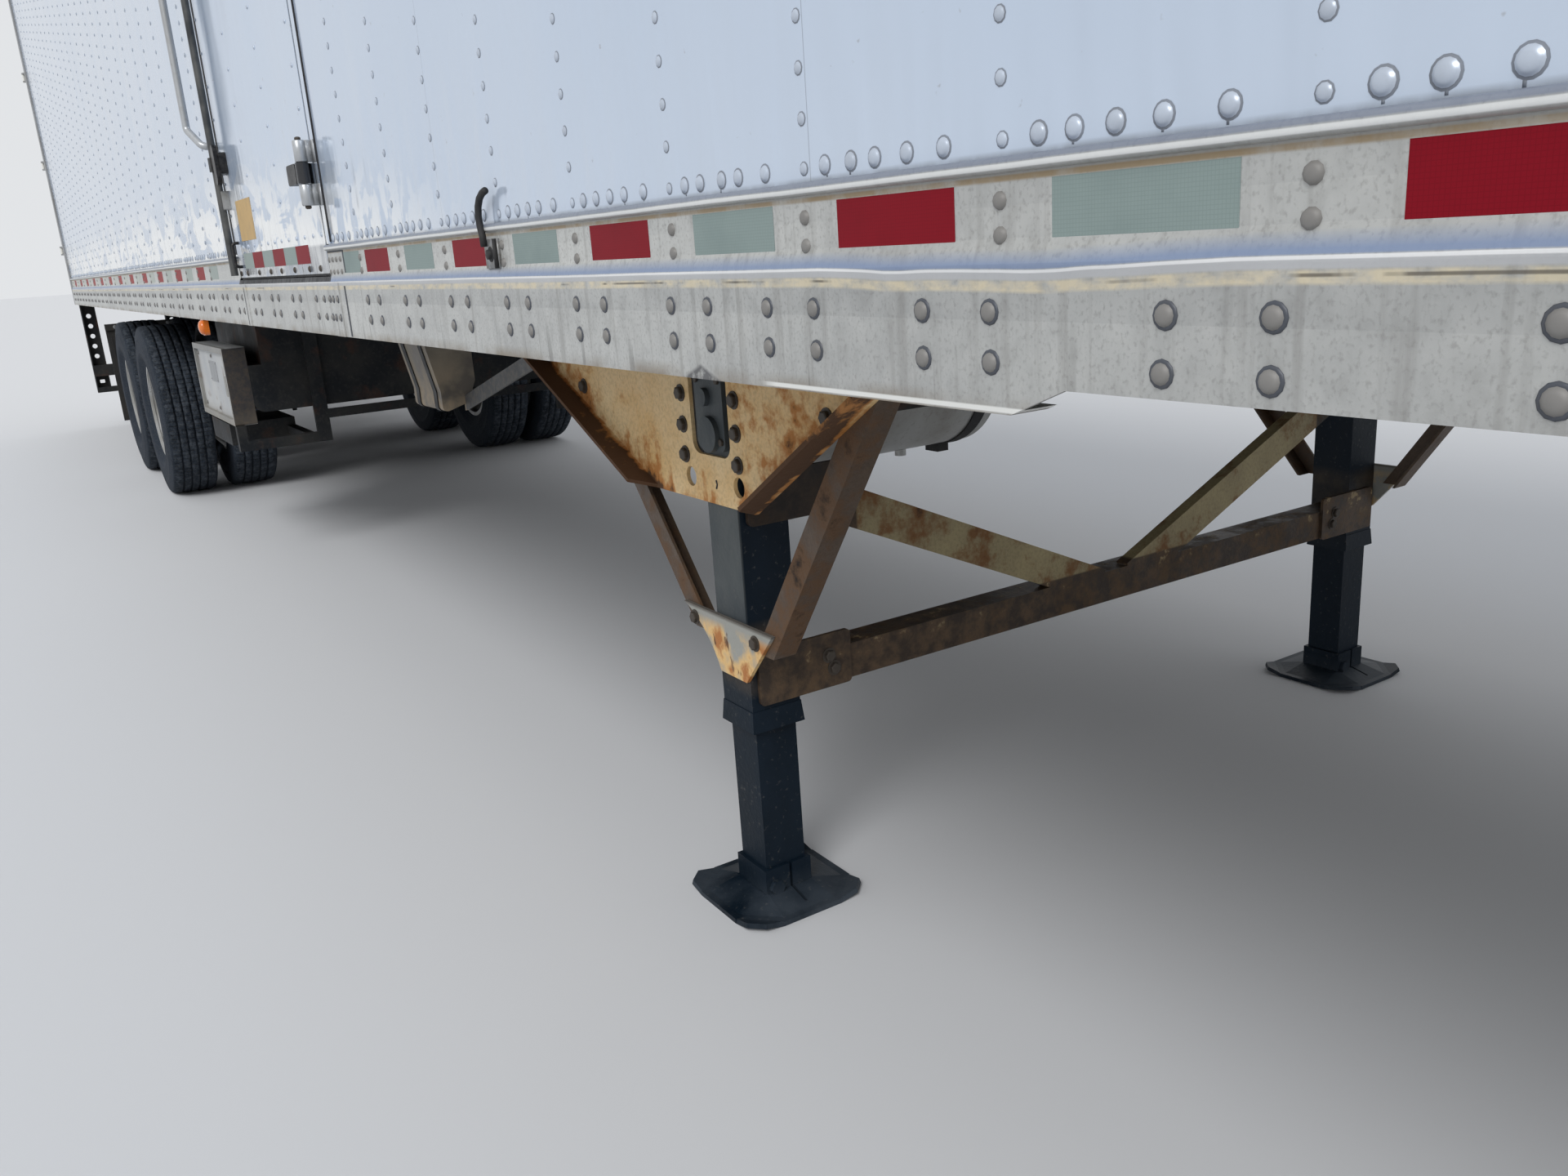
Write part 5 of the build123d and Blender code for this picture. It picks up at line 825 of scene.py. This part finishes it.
# Reflective tape on the upper band, red and silver in turn, and on the foot of the side door
TAPE, SUNK = 0.0004, 0.0002
TAPE_PITCH = 0.3173
TAPE_LONG = 0.19
TAPE_Z = (1.2655, 1.3165)
tapes = {0: Heap(), 1: Heap()}
for side in (-1, 1):
    face = across(side, BAND_Y - SUNK, BAND_Y + TAPE)
    for n in range(-17, 31):
        x = XL + 1.467 - TAPE_PITCH * n
        past_door = x > DOOR_FRONT + 0.17 or side > 0
        if XR + 0.12 < x and x + TAPE_LONG < XN - 0.12 and past_door:
            tapes[n % 2].slab((x, x + TAPE_LONG), face, TAPE_Z)
    if side < 0:
        tapes[1].slab((XL - 1.281, XL - 1.124), face, TAPE_Z)
        for n in range(27):
            x = XL - 3.149 - TAPE_PITCH * n
            if x - TAPE_LONG > XR + 0.12:
                tapes[(n + 1) % 2].slab((x - TAPE_LONG, x), face, TAPE_Z)
for kind, name, paint in ((0, "red", TAPE_RED), (1, "silver", TAPE_GREY)):
    tapes[kind].make(f"rail_tape_{name}", [paint], "aluminium_rail", smooth=False)
heap = Heap()
for n in range(6):
    x = XL - 2.585 + 0.1587 * n
    heap.slab((x, x + 0.158), (-DOOR_Y - TAPE, -DOOR_Y + SUNK), (1.296, 1.345), tone=n % 2)
heap.make("door_tape", [TAPE_GREY, TAPE_RED], "bright_sheet", "side_door", smooth=False)
heap = Heap()
GUARD_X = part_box("underride_guard")[0].x
REAR_FACE = (XR - TAPE, XR + SUNK)
for n in range(7):
    y = -1.225 + 0.35 * n
    heap.slab((GUARD_X - TAPE, GUARD_X + SUNK), (y, y + 0.348), (0.485, 0.535), tone=n % 2)
for n in range(6):
    for side in (-1, 1):
        y = across(side, 0.06 + 0.17 * n, 0.228 + 0.17 * n)
        heap.slab(REAR_FACE, y, (1.305, 1.355), tone=n % 2)
for side in (-1, 1):
    # White tape at the corners of the header
    heap.slab(REAR_FACE, across(side, 0.9, 1.08), (4.035, 4.083), tone=2)
    heap.slab(REAR_FACE, across(side, 1.222, 1.27), (3.78, 3.96), tone=2)
heap.make("rear_tape", [TAPE_RED, TAPE_GREY, TRIM], "galvanised_steel", smooth=False)

# Side door: bolts and rivets, gaskets, a blank placard
heap = Heap(12)
out = (0, -1, 0)
for gx in (-2.678, -2.56, -2.363, -2.18, -2.021, -1.842, -1.655, -1.53):
    heap.dome((XL + gx, -DOOR_Y, 1.2815), out, 0.0088, 0.005, tone=1)
heap.sides = 8
for gx in (-2.565, -2.477, -2.377, -2.257, -2.153, -2.054, -1.955, -1.858, -1.757, -1.655, -1.556, -1.462):
    heap.dome((XL + gx, -DOOR_Y, 1.365), out, *SMALL_RIVET)
for n in range(18):
    z = 1.47 + 0.1015 * n
    for x in (DOOR_REAR + 0.01, DOOR_REAR + 0.4, DOOR_FRONT - 0.45, DOOR_FRONT - 0.052):
        heap.dome((x, -DOOR_Y, z), out, *DOOR_RIVET)
for n in range(12):
    heap.dome((DOOR_REAR + 0.06 + 0.1035 * n, -DOOR_Y, DOOR_HIGH - 0.018), out, *DOOR_RIVET)
for z in HINGE_ZS:
    for dz in (-0.014, 0.014):
        heap.bolt((DOOR_FRONT - 0.026, -DOOR_Y - 0.008, z + dz), out, 0.0065, 0.005, tone=1)
heap.make("side_door_rivets", [STUD, BOLT_DARK], "bright_sheet", "side_door")
heap = Heap()
for edge, gap in ((DOOR_FRONT, DOOR_GAP), (DOOR_REAR, -DOOR_GAP)):
    heap.slab(pair(edge, edge + gap), DOOR_GAP_Y, (DOOR_LOW, DOOR_HIGH))
for edge, gap in ((DOOR_HIGH, DOOR_GAP), (DOOR_LOW, -DOOR_GAP)):
    heap.slab((DOOR_REAR, DOOR_FRONT), DOOR_GAP_Y, pair(edge, edge + gap))
heap.make("side_door_gasket", [SEAL], "black_rubber", "side_door", smooth=False)
heap = Heap()
for low, high in ((DOOR_REAR - 0.034, DOOR_REAR - 0.0085), (DOOR_FRONT + 0.0465, DOOR_FRONT + 0.05)):
    heap.slab((low, high), (-1.2867, -1.282), (1.345, DOOR_HIGH + 0.03))
heap.make("door_frame_gasket", [SEAL], "black_rubber", smooth=False)
heap = Heap()
heap.slab((XL - 2.563, XL - 2.322), (-DOOR_Y - 0.0012, -DOOR_Y + SUNK), (1.384, 1.51))
heap.make("door_placard", [PLACARD], "bright_sheet", "side_door", smooth=False)

# Hinges of the side door: rolled barrels above and below the door's knuckle, on thin leaves
HINGE_X, HINGE_Y, HINGE_R = DOOR_FRONT + 0.022, -1.3185, 0.0145
heap = Heap(20)
for z in HINGE_ZS:
    for low, high in ((z - 0.078, z - 0.026), (z + 0.026, z + 0.078)):
        tall = high - low
        inner = HINGE_R - 0.002
        rows = [(0.005, 0), (inner, 0), (HINGE_R, 0.002), (HINGE_R, tall - 0.002), (inner, tall)]
        heap.turn(rows, aim((HINGE_X, HINGE_Y, low), (0, 0, 1)))
        heap.slab((HINGE_X - 0.003, HINGE_X + 0.003), (HINGE_Y + 0.01, -1.2885), (low, high))
        heap.slab((HINGE_X - 0.014, HINGE_X + 0.0225), (-1.2885, -1.2863), (low, high))
    for way in (-1, 1):
        pin = [(0.005, 0), (0.0075, 0), (0.0075, 0.006), (0.004, 0.008)]
        heap.turn(pin, aim((HINGE_X, HINGE_Y, z + way * 0.078), (0, 0, way)), 1)
hinges = heap.make("rolled_door_hinges", [BRIGHT, BOLT_DARK], "galvanised_steel")
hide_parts("side_door_hinges")

# Holdback of the side door: a bolted bracket with a black bent hook
HOLD_X = XL - 0.216
heap = Heap()
heap.slab((HOLD_X - 0.032, HOLD_X + 0.032), (-1.293, -BAND_Y - 0.0002), (1.262, 1.312))
heap.slab((HOLD_X + 0.028, HOLD_X + 0.032), (-1.3, -1.293), (1.262, 1.312), 1)
heap.bolt((HOLD_X - 0.002, -1.293, 1.286), (0, -1, 0), 0.0095, 0.008, 0.013, 1)
heap.sides = 14
bends = (
    (-0.014, 1.3), (-0.016, 1.318), (-0.022, 1.336), (-0.024, 1.352),
    (-0.019, 1.368), (-0.007, 1.381), (0.01, 1.389), (0.026, 1.392),
)
heap.tube([(HOLD_X + run, -1.2995, z) for run, z in bends], 0.0062, 1)
holdback = heap.make("hooked_holdback", [HOLD, SEAL], "galvanised_steel")
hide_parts("door_holdback")

# Round lenses on the lamps under the rails
LAMP_X, LAMP_Z = XL - 3.737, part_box("bottom_rails")[0].z - 0.0325
heap = Heap(24)
for side in (-1, 1):
    dome = [(0.03, 0), (0.03, 0.003), (0.027, 0.009), (0.02, 0.014), (0.01, 0.017), (0.003, 0.018)]
    heap.turn(dome, aim((LAMP_X, side * 1.2935, LAMP_Z), (0, side, 0)))
heap.make("round_lenses", [LENS], "lamp_lens")

# Bolts of the landing gear on both sides
PLATE_Y = 0.9983
BRACE_X = XL + 0.0623
heap = Heap()
for side in (-1, 1):
    out = (0, side, 0)
    columns = [(x, z) for x in (-0.11, 0.085) for z in (1.014, 0.955, 0.898)]
    for x, z in columns + [(-0.555, 0.999), (0.37, 1.007)]:
        heap.bolt((XL + x, side * PLATE_Y, z), out, 0.0125, 0.01, 0.0165)
    for x, z in ((-0.13, 0.568), (0.096, 0.567)):
        heap.bolt((XL + x, side * PLATE_Y, z), out, 0.0115, 0.009, 0.0155)
    for y, z in ((0.803, 0.463), (0.814, 0.491), (0.752, 0.78), (0.905, 0.848)):
        heap.bolt((BRACE_X, side * y, z), (1, 0, 0), 0.0115, 0.009, 0.0155)
    # Black sheets behind the slot as painted shade inside it, a dark crescent as painted shade in a cut in
    # the plate, studs on the gear cover
    slot_shade = across(side, 0.9575, 0.9905)
    for back, ahead in ((-0.1, -0.0545), (0.0545, 0.078)):
        heap.slab((XL + back, XL + ahead), slot_shade, (0.885, 1.095), 1)
    cut = [(XL + x, side * (PLATE_Y - 0.0006), z) for x, z in ((0, 0.861), (0.003, 0.853), (-0.001, 0.845))]
    heap.tube(cut, 0.0024, 1)
    for x, z in ((-0.038, 1.045), (0.038, 1.045), (0.038, 0.935), (-0.038, 0.935)):
        heap.bolt((XL + x, side * 1.002, z), out, 0.007, 0.005)
heap.make("landing_gear_bolts", [BOLT_DARK, SEAL], "rusty_tan_paint", smooth=False)


# Tyres: ribs, zigzag grooves, sipes and raised rings on the sidewalls
TYRE_R, RIM_R, TYRE_HALF, TREAD_HALF, BEAD_HALF = 0.51, 0.28605, 0.1375, 0.108, 0.104
DUAL, TRACK = 0.1715, 0.984
GROOVES = (-0.066, -0.0225, 0.0225, 0.066)
GROOVE_HALF, GROOVE_DEEP = 0.0048, 0.013
NUTS, NUT_R = 10, 0.1425
CAP_BOLTS, CAP_R = 6, 0.042


def tyre_outline():
    """Points (along the axle, radius, edge) from bead to bead; edge points are cut at each sipe."""
    bead = ((0, 0), (0.006, 0.012), (0.004, 0.02))
    rows = [(-BEAD_HALF - run, RIM_R + rise, 0) for run, rise in bead]
    for t in (0.18, 0.3, 0.42, 0.55, 0.68, 0.8):
        radius = RIM_R + (TYRE_R - 0.02 - RIM_R) * t
        swell = math.sin(math.pi * (0.12 + 0.8 * t)) ** 0.8
        rows.append((-BEAD_HALF - 0.004 - (TYRE_HALF - BEAD_HALF - 0.0055) * swell, radius, 0))
        if t in (0.3, 0.68):
            rows.append((rows[-1][0] - 0.0016, radius + 0.003, 0))
            rows.append((rows[-1][0] + 0.0012, radius + 0.008, 0))
    rows += [(-TREAD_HALF - 0.016, 0.489, 0), (-TREAD_HALF - 0.0105, 0.5, 1), (-TREAD_HALF, 0.5058, 1)]
    for y in GROOVES:
        crown = TYRE_R - 0.004 * (y / TREAD_HALF) ** 2 - 0.0003
        rows += [(y - GROOVE_HALF - 0.008, crown, 0), (y - GROOVE_HALF, crown - 0.0004, 1)]
        rows += [(y + foot * GROOVE_HALF, crown - GROOVE_DEEP, 0) for foot in (-0.6, 0.6)]
        rows += [(y + GROOVE_HALF, crown - 0.0004, 1), (y + GROOVE_HALF + 0.008, crown, 0)]
    return rows + [(-y, r, edge) for y, r, edge in reversed(rows[: rows.index((-TREAD_HALF, 0.5058, 1)) + 1])]


def make_tyres(name, x, y_middle, body, paint):
    outline = tyre_outline()
    steps = 2 * SIPES
    heap = Heap()
    for dual in (-DUAL, DUAL):
        rings = []
        for s in range(steps):
            a = math.tau * s / steps
            ring = []
            for y, r, edge in outline:
                r -= 0.0032 * edge * (s % 2 == 0)
                shift = 0.0016 * edge * (1 if s % 4 < 2 else -1) if abs(y) < 0.08 else 0
                ring.append(on_wheel(x, y_middle + dual + y + shift, r, a))
            rings.append(ring)
        heap.skin(rings, closed=True)
    return heap.make(name, [paint], "tyre_rubber", body)


for end, x in AXLE_XS.items():
    rubber = tyre_paint(end)
    for side, flank in FLANKS:
        body = f"wheel_{end}_{flank}"
        tyres = make_tyres(f"treaded_tyres_{end}_{flank}", x, side * TRACK, body, rubber)
        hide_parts(f"tyres_{end}_{flank}")
        # Nuts on their studs, bolts of the hub cap, and the valve stems
        heap = Heap()
        out = (0, side, 0)
        for n in range(NUTS):
            a = math.tau * (n + 0.5) / NUTS
            at = on_wheel(x, side * (TRACK + 0.011), NUT_R, a)
            heap.bolt(at, out, 0.0165, 0.02, 0.02)
            heap.sides = 8
            heap.turn([(0.01, 0), (0.01, 0.03), (0.008, 0.032)], aim(at, out))
        for n in range(CAP_BOLTS):
            a = math.tau * n / CAP_BOLTS
            heap.bolt(on_wheel(x, side * (TRACK + 0.14), CAP_R, a), out, 0.006, 0.005)
        heap.sides = 20
        cap = [(0.03, 0), (0.03, 0.006), (0.024, 0.01), (0.006, 0.012)]
        heap.turn(cap, aim((x, side * (TRACK + 0.14), AXLE_Z), out), 1)
        heap.sides = 8
        stem = ((0.02, 0.15, -0.262), (0.02, 0.12, -0.236), (0.012, 0.055, -0.214))
        heap.tube([(x + dx, side * (TRACK + dy), AXLE_Z + dz) for dx, dy, dz in stem], 0.004, 1)
        heap.make(f"wheel_nuts_{end}_{flank}", [ZINC, BOLT_DARK], "bright_rim", body, smooth=False)

# Clamp rings of the brake chambers, U bolts over the springs, bolts of the hangers
UBOLT_X, UBOLT_Y = 0.0755, 0.0575
SEAT_Z = AXLE_Z - 0.0735
heap = Heap()
for end, x in AXLE_XS.items():
    for side in (-1, 1):
        spring_y = side * 0.54
        for back, grow in ((0.165, 0), (0.198, -0.012)):
            heap.sides = 24
            rows = [(0.0822, 0), (0.092 + grow, 0.003), (0.092 + grow, 0.017), (0.0822, 0.02)]
            heap.turn(rows, aim((x - back, side * 0.33, AXLE_Z + 0.07), (1, 0, 0)))
        heap.sides = 8
        for dx in (-UBOLT_X, UBOLT_X):
            arch = [(x + dx, spring_y - UBOLT_Y, AXLE_Z - 0.082)]
            for n in range(7):
                a = math.pi * n / 6
                arch.append((x + dx, spring_y - UBOLT_Y * math.cos(a), 0.64 + 0.018 * math.sin(a)))
            arch.append((x + dx, spring_y + UBOLT_Y, AXLE_Z - 0.082))
            heap.tube(arch, 0.0095)
            for dy in (-UBOLT_Y, UBOLT_Y):
                heap.bolt((x + dx, spring_y + dy, SEAT_Z), (0, 0, -1), 0.015, 0.016, 0.019)
        wide = (spring_y - 0.08, spring_y + 0.08)
        heap.slab((x - 0.095, x + 0.095), wide, (SEAT_Z, SEAT_Z + 0.013))
        for reach in (-0.6225, 0.58) if end == "front" else (-0.58, 0.6225):
            heap.bolt((x + reach, side * 0.588, 0.735), (0, side, 0), 0.017, 0.014, 0.022)
heap.make("suspension_hardware", [BLACK], "black_steel")

# Rear doors: gaskets in the gaps, rivets, bolts on the hinge straps
DOOR_EDGE, DOOR_SPLIT, GASKET = 1.1725, 0.007, 0.006
REAR_LOW, REAR_HIGH = 1.371, 3.967
FACE_X = XR - 0.004
strap_zs = [1.581 + 0.72533 * n for n in range(4)]
for side, flank in FLANKS:
    body = f"rear_door_{flank}"
    heap = Heap()
    depth = (XR - 0.002, XR + 0.045)
    heap.slab(depth, across(side, DOOR_EDGE, DOOR_EDGE + GASKET), (REAR_LOW, REAR_HIGH))
    heap.slab(depth, across(side, 0.0012, DOOR_SPLIT), (REAR_LOW, REAR_HIGH))
    for z in ((REAR_LOW - GASKET, REAR_LOW), (REAR_HIGH, REAR_HIGH + GASKET)):
        heap.slab(depth, across(side, 0.0012, DOOR_EDGE + GASKET), z)
    heap.make(f"rear_gasket_{flank}", [SEAL], "black_rubber", body, smooth=False)
    heap = Heap(8)
    back = (-1, 0, 0)
    for n in range(25):
        z = 1.42 + 0.1035 * n
        for y in (0.03, 0.42, 0.6, 1.15):
            if not (y > 1 and min(abs(z - q) for q in strap_zs) < 0.035):
                heap.dome((FACE_X, side * y, z), back, *SMALL_RIVET)
    for n in range(11):
        for z in (REAR_LOW + 0.022, REAR_HIGH - 0.022):
            heap.dome((FACE_X, side * (0.06 + 0.106 * n), z), back, *SMALL_RIVET)
    for z in strap_zs:
        for y in (1.135, 1.08, 1.025):
            heap.bolt((FACE_X - 0.008, side * y, z), back, 0.009, 0.006, 0.012, tone=1)
    heap.make(f"rear_door_rivets_{flank}", [STUD, BOLT_GREY], "white_panel", body)

# Rear frame: bolts down both posts; nose: rivets at the corners and over the coupler
heap = Heap(8)
for side in (-1, 1):
    for n in range(13):
        heap.dome((XR, side * 1.268, 1.42 + 0.195 * n), (-1, 0, 0), 0.0068, 0.0034)
heap.make("rear_post_rivets", [STUD], "galvanised_steel")
heap = Heap(8)
for n in range(55):
    z = 1.24 + RIVET_PITCH * n
    for y in (-1.185, -1.09, 1.09, 1.185):
        heap.dome((XN, y, z), (1, 0, 0), *SMALL_RIVET)
    if z < 2.12:
        for y in (-0.61, 0.61):
            heap.dome((XN, y, z), (1, 0, 0), *SMALL_RIVET)
for n in range(43):
    heap.dome((XN, -1.13 + 0.0538 * n, 1.178), (1, 0, 0), 0.0085, 0.0044)
heap.make("nose_rivets", [STUD], "white_panel")

# Roof bows under the sheet, as low ridges from rail to rail
heap = Heap()
for n in range(23):
    x = XR + 0.42 + BOW_PITCH * n
    rows = ((-0.03, 4.1095), (-0.018, 4.1112), (0.018, 4.1112), (0.03, 4.1095))
    points = [(x + dx, y, z) for y in (-1.205, 1.205) for dx, z in rows]
    heap.add(points, [(0, 1, 5, 4), (1, 2, 6, 5), (2, 3, 7, 6)])
heap.make("roof_bows", [ROOF], "white_panel")

# Cabinet: bolts along the panel's edges and a blank plate
cab_low, cab_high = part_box("control_cabinet")
heap = Heap()
out = (0, -1, 0)
PANEL_Y = cab_low.y + 0.016
for x in (cab_low.x + 0.05, (cab_low.x + cab_high.x) / 2, cab_high.x - 0.05):
    for z in (cab_low.z + 0.05, cab_high.z - 0.05):
        heap.bolt((x, PANEL_Y, z), out, 0.0075, 0.006, 0.011)
plate_z = (cab_high.z - 0.17, cab_high.z - 0.075)
heap.slab((cab_low.x + 0.33, cab_low.x + 0.52), (PANEL_Y - 0.0014, PANEL_Y), plate_z, 1)
for x in (0.339, 0.511):
    for z in (-0.084, -0.161):
        heap.dome((cab_low.x + x, PANEL_Y - 0.0014, cab_high.z + z), out, 0.0035, 0.002)
heap.make("cabinet_bolts", [BOLT_GREY, ZINC], "grey_paint", smooth=False)

# Mud flaps: a clamping strip with bolts, and upright ribs in the rubber
FLAP_X = middle("mud_flaps")
for side, flank in FLANKS:
    heap = Heap()
    for n in range(5):
        y = side * (0.74 + 0.12 * n)
        for way in (-1, 1):
            heap.bolt((FLAP_X + way * 0.02, y, 0.9625), (way, 0, 0), 0.01, 0.008, 0.014, tone=1)
    for n in range(18):
        y = side * (0.71 + 0.032 * n)
        for way in (-1, 1):
            face = FLAP_X + way * 0.004
            heap.slab(pair(face, face + way * 0.0022), (y - 0.004, y + 0.004), (0.3, 0.9))
    heap.make(f"mud_flap_ribs_{flank}", [RUBBER, ZINC], "black_rubber", smooth=False)

# Light, floor and camera
WORLD_LIGHT = 0.8
SUN_LIGHT = 1.7
FLOOR_REACH = 200.0


def light_and_floor():
    """Even sky light, a soft sun and a pale floor."""
    scene = bpy.context.scene
    scene.view_settings.view_transform = "Standard"
    world = bpy.data.worlds.new("studio")
    scene.world = world
    world.use_nodes = True
    back = world.node_tree.nodes["Background"]
    back.inputs["Color"].default_value = (0.955, 0.975, 1, 1)
    back.inputs["Strength"].default_value = WORLD_LIGHT
    floor_mesh = bpy.data.meshes.new("studio_floor")
    corners = [(x * FLOOR_REACH, y * FLOOR_REACH, 0) for x, y in ((-1, -1), (1, -1), (1, 1), (-1, 1))]
    floor_mesh.from_pydata(corners, [], [(0, 1, 2, 3)])
    floor = bpy.data.objects.new("studio_floor", floor_mesh)
    scene.collection.objects.link(floor)
    floor_mesh.materials.append(Paint("studio_floor", (205, 206, 208), rough=0.95, spec=0.1).done())
    sun = bpy.data.lights.new("key", "SUN")
    sun.energy = SUN_LIGHT
    sun.angle = 0.5
    sun_ob = bpy.data.objects.new("key", sun)
    sun_ob.rotation_euler = Vector((0.55, -0.6, 0.75)).to_track_quat("Z", "Y").to_euler()
    scene.collection.objects.link(sun_ob)


def camera():
    """The photograph's view, solved from it."""
    forward = Vector((-0.81612, 0.50813, -0.27523)).normalized()
    right = Vector((0.5446, 0.8362, -0.0649))
    right = (right - forward * right.dot(forward)).normalized()
    cam = bpy.data.cameras.new("photo_camera")
    cam.lens = 28.13
    cam.sensor_width = 36.0
    cam.clip_end = 300
    ob = bpy.data.objects.new("photo_camera", cam)
    turned = Matrix((right, right.cross(forward), -forward)).transposed().to_4x4()
    ob.matrix_world = Matrix.Translation((XL + 1.9454, -2.0791, 1.2827)) @ turned
    bpy.context.scene.collection.objects.link(ob)
    bpy.context.scene.camera = ob


light_and_floor()
camera()
